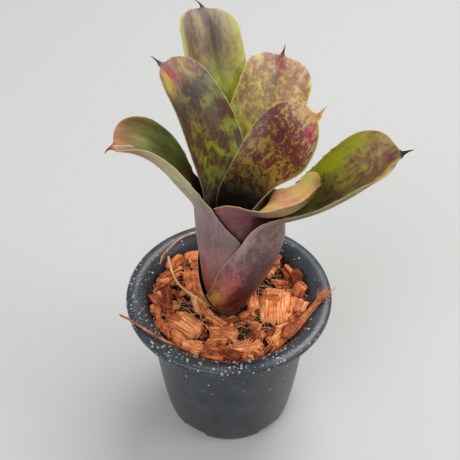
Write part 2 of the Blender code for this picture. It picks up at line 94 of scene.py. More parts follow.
# Colours of the leaves' two faces. Each stop is the share of the leaf's length, the ground
# colour, the colour of the mottling on it, and the share that the mottling covers. Each patch
# is its share of the length and of the half width, its reach along and across, its ground and
# mottling colours, their cover, and its strength.
SHEATH_OUT = (
    (0.00, "#8a4a3c", "#5e1c1a", 0.55), (0.12, "#84504c", "#5c2a2c", 0.55),
    (0.25, "#8c6f70", "#60484e", 0.45), (0.42, "#8f7d7c", "#5f4d52", 0.42),
    (0.60, "#8d8762", "#6b5550", 0.40), (0.80, "#8b9244", "#6a4b44", 0.40),
    (1.00, "#a3a03c", "#7a3a34", 0.40),
)
# On the inner faces the first stops, over the sheaths down in the rosette, are near black: painted shade of
# the tank between the leaves, over their own dark purple.
COATS = {
    "leaf_back_left": dict(
        inner=(
            (0.0, "#301612", "#240c0d", 0.5), (0.35, "#5f7014", "#47401c", 0.3),
            (0.50, "#84991a", "#6a7420", 0.28), (0.68, "#8ea60a", "#686e0a", 0.36),
            (0.85, "#887634", "#5a482c", 0.45), (1.0, "#9c9078", "#685860", 0.45),
        ),
        patches=(
            (0.88, -0.10, 0.09, 0.32, "#62522f", "#33251e", 0.80, 1.0),
            (0.74, -0.10, 0.10, 0.30, "#8f950c", "#66640e", 0.60, 0.8),
            (0.84, 0.58, 0.12, 0.24, "#745e36", "#523a22", 0.55, 0.9),
            (0.80, 0.96, 0.30, 0.08, "#8d9350", "#7a7658", 0.2, 0.9),
            (0.75, -0.92, 0.30, 0.14, "#a9ad4c", "#989058", 0.2, 0.8),
        ),
    ),
    "leaf_back_right": dict(
        inner=(
            (0.0, "#31201f", "#241318", 0.5), (0.42, "#6f7d14", "#4a3418", 0.4),
            (0.58, "#a0a012", "#70541a", 0.38), (0.72, "#827c0c", "#54360c", 0.50),
            (0.88, "#ada34a", "#7e5638", 0.55), (1.0, "#c8b184", "#946a62", 0.55),
        ),
        patches=(
            (0.90, 0.0, 0.08, 0.30, "#948050", "#664c38", 0.7, 0.8),
            (0.97, 0.0, 0.03, 0.20, "#a86c60", "#84403c", 0.7, 1.0),
            (0.80, -0.60, 0.12, 0.25, "#c2a47e", "#a07e64", 0.6, 0.7),
        ),
    ),
    "leaf_centre_left": dict(
        inner=(
            (0.0, "#241019", "#1b0d14", 0.5), (0.38, "#2e2418", "#1c1014", 0.6),
            (0.48, "#6e6a40", "#3c2430", 0.50), (0.60, "#828c26", "#4a301c", 0.55),
            (0.74, "#706a1c", "#422612", 0.62), (0.88, "#5e6a34", "#3a2a2a", 0.66),
            (1.0, "#b48c70", "#905a54", 0.55),
        ),
        patches=(
            (0.70, 0.80, 0.25, 0.25, "#5c4634", "#3a2422", 0.75, 0.8),
            (0.955, 0.05, 0.030, 0.20, "#c23450", "#8e1830", 0.6, 1.0),
            (0.93, 0.55, 0.045, 0.30, "#9c922e", "#8e6632", 0.35, 1.0),
            (0.95, -0.55, 0.05, 0.40, "#988a54", "#785c42", 0.5, 0.9),
        ),
    ),
    "leaf_centre_right": dict(
        inner=(
            (0.0, "#241019", "#1b0d14", 0.5), (0.50, "#262a14", "#26121a", 0.55),
            (0.60, "#66642c", "#461824", 0.50), (0.70, "#8e7420", "#581e18", 0.50),
            (0.84, "#8c7a22", "#541818", 0.68), (0.93, "#bcae66", "#824448", 0.60),
            (1.0, "#c0a060", "#9a6058", 0.45),
        ),
        patches=(
            (0.95, -0.25, 0.032, 0.18, "#e05080", "#ae2450", 0.6, 1.0),
            (0.97, 0.55, 0.05, 0.45, "#d4ac7e", "#a6706a", 0.3, 0.9),
            (0.82, -0.95, 0.22, 0.12, "#5d5415", "#502517", 0.3, 0.9),
        ),
    ),
    "leaf_left": dict(
        outer=(
            (0.0, "#5e2a20", "#2e120e", 0.5), (0.22, "#904a3e", "#642c24", 0.45),
            (0.36, "#9c6c6a", "#7a5052", 0.4), (0.47, "#765c5e", "#5a444a", 0.42),
            (0.58, "#8c7272", "#644c4c", 0.42), (0.70, "#b0a888", "#80765e", 0.35),
            (0.85, "#aca07a", "#807254", 0.35), (1.0, "#b88c5c", "#84543c", 0.45),
        ),
        inner=(
            (0.0, "#1f1216", "#170c10", 0.5), (0.42, "#2a191f", "#1f1218", 0.5),
            (0.58, "#3e2a08", "#30180c", 0.45), (0.72, "#343a06", "#241e08", 0.40),
            (0.88, "#5a6a24", "#40381e", 0.40), (0.96, "#86703e", "#624432", 0.45),
            (1.0, "#b88c60", "#8c5448", 0.45),
        ),
        patches=(),
    ),
    "leaf_right": dict(
        outer=(
            (0.0, "#9c4830", "#58241a", 0.5), (0.12, "#923c36", "#561e1a", 0.5),
            (0.20, "#863e3c", "#4a2022", 0.5), (0.32, "#865658", "#56383c", 0.5),
            (0.45, "#7c625a", "#54403e", 0.45), (0.60, "#80744c", "#564a36", 0.4),
            (0.80, "#9c8450", "#745444", 0.4), (1.0, "#a0884a", "#74443c", 0.5),
        ),
        outer_patches=(
            (0.12, -0.80, 0.10, 0.14, "#bc9448", "#8c5c3c", 0.30, 0.95),
            (0.22, -0.70, 0.07, 0.13, "#c06260", "#944448", 0.40, 0.90),
            (0.19, -0.34, 0.10, 0.22, "#4c1818", "#320c0e", 0.60, 0.92),
            (0.45, -0.92, 0.12, 0.14, "#a2867e", "#7e625e", 0.30, 0.90),
            (0.31, -0.33, 0.08, 0.18, "#58404a", "#3e2830", 0.60, 0.85),
        ),
        inner=(
            (0.0, "#2a1520", "#1e0f16", 0.5), (0.38, "#2d1c26", "#241620", 0.5),
            (0.50, "#3e5220", "#3a2a24", 0.35), (0.62, "#8c9830", "#624440", 0.40),
            (0.76, "#989226", "#6c4040", 0.46), (0.90, "#a89a40", "#7c4c46", 0.52),
            (1.0, "#b89c5c", "#80504c", 0.50),
        ),
        patches=(
            (0.965, -0.05, 0.03, 0.20, "#6c2c40", "#401828", 0.6, 1.0),
            (0.78, -0.15, 0.16, 0.28, "#6c5830", "#4a3424", 0.60, 0.75),
            (0.70, 0.80, 0.25, 0.22, "#a8b01e", "#8a8428", 0.10, 1.0),
        ),
    ),
    "leaf_front": dict(
        outer=(
            (0.0, "#4a1c20", "#2a1016", 0.5), (0.45, "#6d4248", "#4c2a30", 0.5),
            (0.58, "#84484e", "#643438", 0.5), (0.66, "#8c5054", "#66383e", 0.45),
            (0.76, "#644840", "#442c28", 0.4), (0.86, "#a88850", "#7c6038", 0.35),
            (1.0, "#90783a", "#664828", 0.4),
        ),
        inner=(
            (0.0, "#2a1520", "#1e0f16", 0.5), (0.45, "#4a2230", "#331622", 0.5),
            (0.60, "#b49850", "#947444", 0.4), (0.78, "#c49068", "#ae6a58", 0.45),
            (0.92, "#dcb472", "#bc8062", 0.45), (1.0, "#b4a644", "#906c3a", 0.4),
        ),
        patches=(
            (0.92, 0.80, 0.12, 0.25, "#bcb858", "#b89c60", 0.3, 0.9),
        ),
    ),
}

# Name, place as an angle and a distance from the pot's axis, length, width, yaw, pitch, roll,
# shade from dark (0) to straw (1).
CHIPS = (
    ("chip_left_upright", 179, 28.8, 17.5, 6.5, 92, 0, -30, 0.16),
    ("chip_left_streak", 149, 30.0, 12.0, 4.2, 62, 0, -12, 0.55),
    ("chip_back_left", 139, 20.6, 19.0, 11.5, 103, 0, 0, 0.42),
    ("chip_back", 119, 30.0, 10.0, 6.0, 29, 0, 0, 0.62),
    ("chip_back_middle", 88, 28.5, 15.0, 8.0, -2, 0, 0, 0.52),
    ("chip_back_right", 52, 28.2, 13.0, 9.5, -38, 0, 0, 0.62),
    ("chip_right_large", -3, 21.6, 23.0, 15.5, 84, 0, 0, 0.68),
    ("chip_right_edge", 18, 32.4, 15.0, 2.6, 108, 0, 0, 0.45),
    ("chip_front_right", -40, 28.6, 15.0, 6.5, 46, 0, 0, 0.60),
    ("chip_front", -76, 27.0, 18.0, 9.5, 12, 0, 0, 0.62),
    ("chip_front_middle", -98, 14.4, 13.5, 6.5, -4, 0, 0, 0.6),
    ("chip_front_slant", -104, 21.6, 11.0, 3.6, 20, 0, 0, 0.5),
    ("chip_front_left", -146, 22.4, 18.0, 14.5, -38, 0, 0, 0.68),
    ("chip_front_low", -113, 29.0, 12.5, 5.5, -20, 0, 0, 0.5),
    ("chip_stub_left", 176, 14.2, 9.0, 3.6, 112, -12, 40, 0.8),
)

# Name, radii in the middle and at the ends, strands, points of the middle line above the rim.
FIBRES = (
    ("fibre_bundle_right", (1.5, 0.9), 26, (
        (24.5, -22.5, -4.4), (29.0, -18.5, -3.0), (33.5, -13.0, -1.4),
        (37.8, -8.5, 0.9), (43.0, -2.7, 2.6),
    )),
    ("fibre_strip_left", (0.8, 0.35), 12, (
        (-46.2, -15.6, 1.5), (-42.0, -18.3, 1.5), (-37.9, -21.1, 1.4),
        (-30.9, -26.4, 1.3), (-23.8, -29.6, -0.4), (-16.1, -30.3, -4.6),
    )),
    ("fibre_strip_pale", (0.75, 0.4), 9, (
        (-28.3, 23.0, -2.4), (-26.7, 16.7, -4.4), (-23.7, 9.7, -5.6),
        (-18.9, 4.6, -6.3), (-13.6, 0.4, -7.0), (-8.9, -3.6, -8.0),
    )),
    ("fibre_arch_back", (0.5, 0.3), 2, (
        (-31.7, 18.4, -2.4), (-30.1, 23.0, -0.5), (-27.0, 27.1, 0.3),
        (-22.6, 32.6, 0.9), (-18.5, 35.5, 0.8), (-14.7, 36.9, 0.5),
        (-8.0, 38.4, 0.4),
    )),
)

# The pot in millimetres: lip, wall, and the ends of the flange's curves outside and inside.
RIM_Z, WALL = 73.0, 1.2
SHOULDER, UNDER_LIP = (36.0, 65.0), (44.1, 70.7)
INNER_SHOULDER, INNER_LIP = (SHOULDER[0] - WALL, SHOULDER[1]), (42.2, RIM_Z)
NOTCHES, FIRST_NOTCH, NOTCH_SIZE = 5, -123, (6.6, 12.0, 8.0)

# The bed: level inside BED_FLAT, then up by BED_RISE to the wall at BED_EDGE.
BED_Z, BED_RISE, BED_FLAT, BED_EDGE = 59.0, 4.5, 14.0, 34.3
BED_GAP = 0.3

# A leaf's points across, the length of its spine, and the finish's step between leaves.
ACROSS, SPINE, APART = 47, 5.2, 13.0

# The camera's place in metres, its tilt below level and its turn in degrees, its angle of view.
CAMERA_PLACE, CAMERA_DOWN, CAMERA_TURN, CAMERA_VIEW = (0.0, -0.2192, 0.3082), 42.34, -0.115, 35


# --- small helpers ---------------------------------------------------------------------------
def linear(code):
    """A colour written as sRGB hex, as the linear RGBA that Blender's nodes take."""
    parts = [int(code[i:i + 2], 16) / 255 for i in (1, 3, 5)]
    return tuple(c / 12.92 if c <= 0.04045 else ((c + 0.055) / 1.055) ** 2.4 for c in parts) + (1.0,)


def add(tree, kind, inputs=None, stops=None, **settings):
    """Adds one node, sets it up, and gives each named input its value or its link."""
    made = tree.nodes.new(kind)
    for name, value in settings.items():
        setattr(made, name, value)
    for key, value in (inputs or {}).items():
        if isinstance(value, bpy.types.NodeSocket):
            tree.links.new(value, made.inputs[key])
        else:
            made.inputs[key].default_value = value
    if stops:
        ramp = made.color_ramp
        while len(ramp.elements) < len(stops):
            ramp.elements.new(0.5)
        for element, (place, colour) in zip(ramp.elements, stops):
            element.position, element.color = place, colour
    return made


def new_material(name):
    """An empty material and its tree, with the surface shader and the output linked."""
    made = bpy.data.materials.new(name)
    made.use_nodes = True
    tree = made.node_tree
    tree.nodes.clear()
    shader = add(tree, "ShaderNodeBsdfPrincipled")
    add(tree, "ShaderNodeOutputMaterial", {"Surface": shader.outputs[0]})
    return made, tree, shader


def ease(x):
    """A smooth step from 0 to 1."""
    x = np.clip(x, 0.0, 1.0)
    return x * x * (3 - 2 * x)


def lattice(seed):
    """A smooth value noise over the plane, from 0 to 1, the same for the same seed."""
    table = np.random.default_rng(seed).random((256, 256))

    def at(x, y):
        x, y = np.broadcast_arrays(np.asarray(x, float), np.asarray(y, float))
        i, j = np.floor(x).astype(int), np.floor(y).astype(int)
        a, b = ease(x - i), ease(y - j)
        i, j, k, m = i % 256, j % 256, (i + 1) % 256, (j + 1) % 256
        return ((table[i, j] * (1 - a) + table[k, j] * a) * (1 - b)
                + (table[i, m] * (1 - a) + table[k, m] * a) * b)
    return at


def sheet_faces(rows, columns):
    """The faces that make one closed body of two grids of points, one behind the other."""
    k = np.arange(rows * columns).reshape(rows, columns)
    a, b, c, d = k[:-1, :-1], k[:-1, 1:], k[1:, 1:], k[1:, :-1]
    first = np.stack([a, b, c, d], -1).reshape(-1, 4)
    n = rows * columns
    second = first[:, ::-1] + n
    edge = np.concatenate([k[0, ::-1], k[1:, 0], k[-1, 1:], k[-2::-1, -1][:-1]])
    after = np.roll(edge, -1)
    rim = np.stack([edge, after, after + n, edge + n], -1)
    return np.concatenate([first, second, rim])


def mesh_piece(name, points, faces, material, fields=None, smooth=True):
    """A mesh object from points in metres, with its finish and its point attributes."""
    mesh = bpy.data.meshes.new(name)
    mesh.from_pydata([tuple(p) for p in points], [], [tuple(int(k) for k in f) for f in faces])
    for key, values in (fields or {}).items():
        values = np.asarray(values, dtype=np.float32)
        kind = {1: "FLOAT", 3: "FLOAT_VECTOR", 4: "FLOAT_COLOR"}[1 if values.ndim == 1 else values.shape[1]]
        layer = mesh.attributes.new(key, kind, "POINT")
        layer.data.foreach_set({"FLOAT": "value", "FLOAT_VECTOR": "vector", "FLOAT_COLOR": "color"}[kind],
                               values.ravel())
    mesh.polygons.foreach_set("use_smooth", [smooth] * len(mesh.polygons))
    mesh.materials.append(material)
    made = bpy.data.objects.new(name, mesh)
    bpy.context.scene.collection.objects.link(made)
    return made


def finished(piece, slot, *nodes):
    """Tells the frame what a piece rides on and hides the CAD nodes it stands for; the slot is not used."""
    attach(piece, "root")
    if nodes:
        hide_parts(*nodes)
    return piece


def plain(obj, name):
    """The object's evaluated shape as a plain mesh in a new object; the old one goes."""
    graph = bpy.context.evaluated_depsgraph_get()
    mesh = bpy.data.meshes.new_from_object(obj.evaluated_get(graph), depsgraph=graph)
    bpy.data.objects.remove(obj, do_unlink=True)
    mesh.name = name
    made = bpy.data.objects.new(name, mesh)
    bpy.context.scene.collection.objects.link(made)
    return made


def node_tree(name, sizes):
    """A geometry tree with named inputs, its input node, and the sockets by name."""
    tree = bpy.data.node_groups.new(name, "GeometryNodeTree")
    tree.is_modifier = True
    tree.interface.new_socket("Geometry", in_out="INPUT", socket_type="NodeSocketGeometry")
    tree.interface.new_socket("Geometry", in_out="OUTPUT", socket_type="NodeSocketGeometry")
    sockets = {key: tree.interface.new_socket(key, in_out="INPUT", socket_type="NodeSocket" + kind)
               for key, kind in sizes.items()}
    return tree, add(tree, "NodeGroupInput"), sockets


def run_tree(obj, tree, sockets, values, name):
    """Puts the tree on the object with these values and returns what it makes as a piece."""
    modifier = obj.modifiers.new(tree.name, "NODES")
    modifier.node_group = tree
    for key, value in values.items():
        modifier[sockets[key].identifier] = value
    return plain(obj, name)


# --- finishes --------------------------------------------------------------------------------
def pot_finish(colour):
    """Polypropylene, injection moulded, charcoal: an even satin with a fine tooth, a little dust and
    a few water marks."""
    made, tree, shader = new_material("polypropylene_moulded_charcoal")
    place = add(tree, "ShaderNodeTexCoord").outputs["Object"]
    # 1.6 mm dust blots and 9 mm water marks; the tooth of 0.4 mm is drawn coarser than real
    dust = add(tree, "ShaderNodeTexNoise", {"Vector": place, "Scale": 620, "Detail": 3, "Roughness": 0.6})
    marks = add(tree, "ShaderNodeTexNoise", {"Vector": place, "Scale": 110, "Detail": 4, "Roughness": 0.55})
    tooth = add(tree, "ShaderNodeTexNoise", {"Vector": place, "Scale": 2500, "Detail": 1})
    speck = add(tree, "ShaderNodeMapRange", {"Value": dust.outputs[0], "From Min": 0.60, "From Max": 0.72})
    worn = add(tree, "ShaderNodeMapRange", {"Value": marks.outputs[0], "From Min": 0.40, "From Max": 0.68})
    dark = tuple(c * 0.78 for c in colour[:3]) + (1.0,)
    pale = tuple(c * 1.6 + 0.005 for c in colour[:3]) + (1.0,)
    base = add(tree, "ShaderNodeMix", {0: worn.outputs[0], 6: dark, 7: pale}, data_type="RGBA")
    faint = add(tree, "ShaderNodeMath", {0: speck.outputs[0], 1: 0.18}, operation="MULTIPLY")
    final = add(tree, "ShaderNodeMix", {0: faint.outputs[0], 6: base.outputs[2], 7: linear("#7d8285")},
                data_type="RGBA")
    gloss = add(tree, "ShaderNodeMapRange", {"Value": marks.outputs[0], "To Min": 0.26, "To Max": 0.42})
    bump = add(tree, "ShaderNodeBump", {"Strength": 0.15, "Distance": 0.0002, "Height": tooth.outputs[0]})
    tree.links.new(final.outputs[2], shader.inputs["Base Color"])
    tree.links.new(gloss.outputs[0], shader.inputs["Roughness"])
    tree.links.new(bump.outputs[0], shader.inputs["Normal"])
    shader.inputs["IOR"].default_value = 1.49
    return made


def water_finish():
    """Water, beads left by a spray: mirror-smooth domes, mostly clear, whose whitish base colour is a painted
    highlight for the bright point each carries.
    """
    made, tree, shader = new_material("water_beads")
    place = add(tree, "ShaderNodeTexCoord").outputs["Object"]
    ripple = add(tree, "ShaderNodeTexNoise", {"Vector": place, "Scale": 900})
    rough = add(tree, "ShaderNodeMapRange", {"Value": ripple.outputs[0], "To Min": 0.01, "To Max": 0.05})
    tree.links.new(rough.outputs[0], shader.inputs["Roughness"])
    # painted highlight: a whitish base under part transmission stands in for each bead's sparkle
    shader.inputs["Base Color"].default_value = linear("#f2f6f8")
    shader.inputs["Transmission Weight"].default_value = 0.72
    shader.inputs["IOR"].default_value = 1.333
    return made


def coir_finish(colour):
    """Coir peat, packed and damp: dark brown crumbs with a few lighter threads, taken to almost black as
    painted shade for the gaps between the chips.
    """
    made, tree, shader = new_material("coir_peat_gap_shade")
    place = add(tree, "ShaderNodeTexCoord").outputs["Object"]
    crumbs = add(tree, "ShaderNodeTexNoise", {"Vector": place, "Scale": 700, "Detail": 5, "Roughness": 0.7})
    threads = add(tree, "ShaderNodeTexNoise", {"Vector": place, "Scale": 240, "Detail": 3, "Distortion": 3.0})
    light = add(tree, "ShaderNodeMapRange", {"Value": threads.outputs[0], "From Min": 0.56, "From Max": 0.66})
    dark = add(tree, "ShaderNodeValToRGB", {"Fac": crumbs.outputs[0]},
               stops=((0.3, tuple(c * 0.35 for c in colour[:3]) + (1.0,)),
                      (0.75, tuple(colour[:3]) + (1.0,))))
    final = add(tree, "ShaderNodeMix", {0: light.outputs[0], 6: dark.outputs[0], 7: linear("#6b3a22")},
                data_type="RGBA")
    bump = add(tree, "ShaderNodeBump", {"Strength": 0.8, "Distance": 0.0006, "Height": crumbs.outputs[0]})
    tree.links.new(final.outputs[2], shader.inputs["Base Color"])
    tree.links.new(bump.outputs[0], shader.inputs["Normal"])
    shader.inputs["Roughness"].default_value = 0.95
    return made


def husk_finish(name, dark, middle, straw):
    """Coconut husk, cut into chips: matt cork-like pith crossed by coarse fibres, orange-tan to red-brown,
    with painted shade darkening the crevices."""
    made, tree, shader = new_material(name)
    place = add(tree, "ShaderNodeAttribute", attribute_name="fibre_place").outputs["Vector"]
    shade = add(tree, "ShaderNodeAttribute", attribute_name="shade").outputs["Fac"]
    crevice_shade = add(tree, "ShaderNodeAttribute", attribute_name="crevice_shade").outputs["Fac"]
    # fibres 0.25 to 0.4 mm wide that run for 4 to 14 mm
    lay = add(tree, "ShaderNodeMapping", {"Vector": place, "Scale": (0.07, 2.4, 2.4)})
    thin = add(tree, "ShaderNodeMapping", {"Vector": place, "Scale": (0.28, 4.2, 4.2)})
    broad = add(tree, "ShaderNodeTexNoise", {"Vector": lay.outputs[0], "Scale": 1.0, "Detail": 3,
                                             "Roughness": 0.6, "Distortion": 0.4})
    fine = add(tree, "ShaderNodeTexNoise", {"Vector": thin.outputs[0], "Scale": 1.0, "Detail": 2,
                                            "Roughness": 0.7})
    blotch = add(tree, "ShaderNodeTexNoise", {"Vector": place, "Scale": 0.28, "Detail": 3})
    mixed = add(tree, "ShaderNodeMath", {0: broad.outputs[0], 1: fine.outputs[0]}, operation="ADD")
    patchy = add(tree, "ShaderNodeMath", {0: mixed.outputs[0], 1: blotch.outputs[0]}, operation="ADD")
    centred = add(tree, "ShaderNodeMath", {0: patchy.outputs[0], 1: 1.5}, operation="SUBTRACT")
    spread = add(tree, "ShaderNodeMath", {0: centred.outputs[0], 1: 1.05, 2: shade}, operation="MULTIPLY_ADD")
    colours = add(tree, "ShaderNodeValToRGB", {"Fac": spread.outputs[0]},
                  stops=((0.02, tuple(c * 0.30 for c in dark[:3]) + (1.0,)), (0.20, dark), (0.55, middle),
                         (0.74, linear("#e8935a")), (0.95, straw)))
    # painted shade: the crevices of each chip's faces are mixed towards a near-black brown
    crevice_shaded = add(tree, "ShaderNodeMix", {0: crevice_shade, 6: colours.outputs[0], 7: linear("#33140b")},
               data_type="RGBA")
    bump = add(tree, "ShaderNodeBump", {"Strength": 0.7, "Distance": 0.0004, "Height": mixed.outputs[0]})
    tree.links.new(crevice_shaded.outputs[2], shader.inputs["Base Color"])
    tree.links.new(bump.outputs[0], shader.inputs["Normal"])
    shader.inputs["Roughness"].default_value = 0.88
    shader.inputs["Specular IOR Level"].default_value = 0.25
    return made


def strand_finish(name, low, colour, high):
    """Coir fibre, loose: stiff, faintly shiny threads, tan to straw where dry and orange-brown where
    damp."""
    made, tree, shader = new_material(name)
    place = add(tree, "ShaderNodeTexCoord").outputs["Object"]
    tone = add(tree, "ShaderNodeTexNoise", {"Vector": place, "Scale": 160, "Detail": 3})
    fleck = add(tree, "ShaderNodeTexNoise", {"Vector": place, "Scale": 1400, "Detail": 2})
    mixed = add(tree, "ShaderNodeMath", {0: tone.outputs[0], 1: fleck.outputs[0]}, operation="ADD")
    half = add(tree, "ShaderNodeMath", {0: mixed.outputs[0], 1: 0.5}, operation="MULTIPLY")
    colours = add(tree, "ShaderNodeValToRGB", {"Fac": half.outputs[0]},
                  stops=((0.36, linear(low)), (0.50, tuple(colour[:3]) + (1.0,)), (0.64, linear(high))))
    bump = add(tree, "ShaderNodeBump", {"Strength": 0.4, "Distance": 0.0002, "Height": fleck.outputs[0]})
    tree.links.new(colours.outputs[0], shader.inputs["Base Color"])
    tree.links.new(bump.outputs[0], shader.inputs["Normal"])
    shader.inputs["Roughness"].default_value = 0.7
    return made


def leaf_finish(name, patch, crisp, streak, edge_colour):
    """Leaf skin, living and waxy: soft gloss over fine lengthwise veins, mottled with red-brown
    pigment, with a pale thin margin."""
    made, tree, shader = new_material(name)
    read = {key: add(tree, "ShaderNodeAttribute", attribute_name=key)
            for key in ("leaf_place", "ground", "mottle", "cover", "edge", "scurf", "gloss")}
    place = read["leaf_place"].outputs["Vector"]
    lay = add(tree, "ShaderNodeMapping", {"Vector": place, "Scale": (1 / patch, streak / patch, 1.0)})
    blots = add(tree, "ShaderNodeTexNoise", {"Vector": lay.outputs[0], "Scale": 1.0, "Detail": 4,
                                             "Roughness": 0.62, "Distortion": 0.7})
    flecks = add(tree, "ShaderNodeTexNoise", {"Vector": lay.outputs[0], "Scale": 3.1, "Detail": 3,
                                              "Roughness": 0.6})
    pattern = add(tree, "ShaderNodeMix", {0: 0.34, 2: blots.outputs[0], 3: flecks.outputs[0]},
                  data_type="FLOAT")
    level = add(tree, "ShaderNodeMapRange", {"Value": read["cover"].outputs["Fac"], "To Min": 0.72,
                                             "To Max": 0.28})
    above = add(tree, "ShaderNodeMath", {0: pattern.outputs[0], 1: level.outputs[0]}, operation="SUBTRACT")
    mask = add(tree, "ShaderNodeMapRange", {"Value": above.outputs[0], "From Min": -crisp, "From Max": crisp},
               interpolation_type="SMOOTHSTEP")
    skin = add(tree, "ShaderNodeMix", {0: mask.outputs[0], 6: read["ground"].outputs["Color"],
                                       7: read["mottle"].outputs["Color"]}, data_type="RGBA")
    # veins 0.5 mm apart along the leaf
    rail = add(tree, "ShaderNodeMapping", {"Vector": place, "Scale": (2.0, 0.03, 1.0)})
    veins = add(tree, "ShaderNodeTexNoise", {"Vector": rail.outputs[0], "Scale": 1.0, "Detail": 2,
                                             "Roughness": 0.6})
    tone = add(tree, "ShaderNodeMapRange", {"Value": veins.outputs[0], "From Min": 0.3, "From Max": 0.7,
                                            "To Min": 0.86, "To Max": 1.12})
    veined = add(tree, "ShaderNodeVectorMath", {0: skin.outputs[2], "Scale": tone.outputs[0]},
                 operation="SCALE")
    # scurf: pale scales in short crosswise dashes
    band = add(tree, "ShaderNodeMapping", {"Vector": place, "Scale": (0.5, 1.6, 1.0)})
    scales = add(tree, "ShaderNodeTexNoise", {"Vector": band.outputs[0], "Scale": 1.0, "Detail": 5,
                                              "Roughness": 0.75})
    flour = add(tree, "ShaderNodeMapRange", {"Value": scales.outputs[0], "From Min": 0.42, "From Max": 0.72})
    dusted = add(tree, "ShaderNodeMath", {0: flour.outputs[0], 1: read["scurf"].outputs["Fac"]},
                 operation="MULTIPLY")
    bloom = add(tree, "ShaderNodeMix", {0: dusted.outputs[0], 6: veined.outputs[0], 7: linear("#b3a9a6")},
                data_type="RGBA")
    rim = add(tree, "ShaderNodeMapRange", {"Value": read["edge"].outputs["Fac"], "From Min": 0.05,
                                           "From Max": 0.45,
                                           "To Min": 0.45, "To Max": 0.0})
    final = add(tree, "ShaderNodeMix", {0: rim.outputs[0], 6: bloom.outputs[2], 7: edge_colour},
                data_type="RGBA")
    rough = add(tree, "ShaderNodeMapRange", {"Value": veins.outputs[0], "To Min": -0.06, "To Max": 0.06})
    gloss = add(tree, "ShaderNodeMath", {0: read["gloss"].outputs["Fac"], 1: rough.outputs[0]},
                operation="ADD")
    relief = add(tree, "ShaderNodeMath", {0: veins.outputs[0], 1: scales.outputs[0]}, operation="ADD")
    bump = add(tree, "ShaderNodeBump", {"Strength": 0.25, "Distance": 0.0003, "Height": relief.outputs[0]})
    tree.links.new(final.outputs[2], shader.inputs["Base Color"])
    tree.links.new(gloss.outputs[0], shader.inputs["Roughness"])
    tree.links.new(bump.outputs[0], shader.inputs["Normal"])
    shader.inputs["Specular IOR Level"].default_value = 0.30
    shader.inputs["IOR"].default_value = 1.45
    return made


# --- settings --------------------------------------------------------------------------------
def colour_setting(name, about, code):
    """A colour in the panel, from its sRGB hex."""
    return bpy.props.FloatVectorProperty(name=name, description=about, subtype="COLOR", size=3,
                                         min=0.0, max=1.0, default=linear(code)[:3])


def length_setting(name, about, metres):
    """A length in the panel, in metres."""
    return bpy.props.FloatProperty(name=name, description=about, subtype="DISTANCE", unit="LENGTH",
                                   min=0.0, precision=5, default=metres)


class PotSettings(bpy.types.PropertyGroup):
    sides: bpy.props.IntProperty(name="Sides", description="Faces round the pot", default=160, min=24)
    colour: colour_setting("Plastic", "Colour of the pot's plastic", "#262b30")
    drops: bpy.props.IntProperty(name="Water beads", description="Beads per square centimetre of flange",
                                 default=34, min=0)
    drop_size: length_setting("Bead size", "Width of the largest water bead", 0.0013)


class MixSettings(bpy.types.PropertyGroup):
    # the peat colour is near black: partly the damp coir's own brown, partly painted shade for the gaps
    # between the chips
    peat_and_gap_shade: colour_setting("Peat", "Colour of the damp coir under the chips", "#2a140c")
    dark: colour_setting("Husk, dark", "Colour of the dark husk", "#8f3f22")
    middle: colour_setting("Husk", "Colour of most of the husk", "#d27642")
    straw: colour_setting("Husk, pale", "Colour of the palest husk", "#f2bd88")
    litter: bpy.props.IntProperty(name="Small chips", description="Small chips between the large ones",
                                  default=250, min=0)
    thread: colour_setting("Fibre", "Colour of loose fibres", "#d49a62")


class LeafSettings(bpy.types.PropertyGroup):
    thickness: length_setting("Thickness", "Thickness of a leaf away from its edges", 0.0005)
    rows: bpy.props.IntProperty(name="Rows", description="Rows of faces along a leaf", default=260, min=40)
    tooth: length_setting("Teeth", "Height of the small teeth along the margins", 0.00035)
    margin: colour_setting("Margin", "Colour of the thin edge of a leaf", "#c9bd82")


class StageSettings(bpy.types.PropertyGroup):
    floor: colour_setting("Floor", "Colour of the floor", "#acacaa")
    glow: bpy.props.FloatProperty(name="Room light", description="Strength of the light from all round",
                                  default=0.74, min=0.0)


# --- pot -------------------------------------------------------------------------------------
def body_radius(z):
    """Outside radius of the pot's body at a height, slightly bellied."""
    t = z / SHOULDER[1]
    return 29.5 + 6.5 * t + 1.1 * np.sin(np.pi * t ** 0.6)


def flange_curve(steps, start, end, power=0.85):
    """A quarter wave from the pot's shoulder out to the lip."""
    t = np.linspace(0, 1, steps)
    (r0, z0), (r1, z1) = start, end
    return list(zip(r0 + (r1 - r0) * (1 - np.cos(t * np.pi / 2)) ** power,
                    z0 + (z1 - z0) * np.sin(t * np.pi / 2)))


def pot_profile():
    """Half section of the pot in millimetres, from under the foot up outside and down inside."""
    outside = [(0.0, 0.0), (20.0, 0.0), (28.4, 0.0), (28.9, 0.12), (29.3, 0.4), (29.5, 0.8)]
    outside += [(float(body_radius(z)), z) for z in np.linspace(1.6, 64.4, 40)]
    outside += flange_curve(16, SHOULDER, UNDER_LIP)
    lip = [(44.35, 70.1), (44.6, 70.0), (44.85, 70.15), (45.0, 70.5), (45.0, 71.6), (44.9, 72.05),
           (44.7, 72.38), (44.4, 72.62), (43.9, 72.82), (43.2, 72.95), (42.6, 73.0)]
    inside = flange_curve(18, INNER_SHOULDER, INNER_LIP)[::-1]
    inside += [(float(body_radius(z)) - WALL, z) for z in np.linspace(64.2, 3.2, 30)]
    inside += [(27.9, 2.0), (27.4, 1.6), (0.0, 1.6)]
    return outside + lip + inside


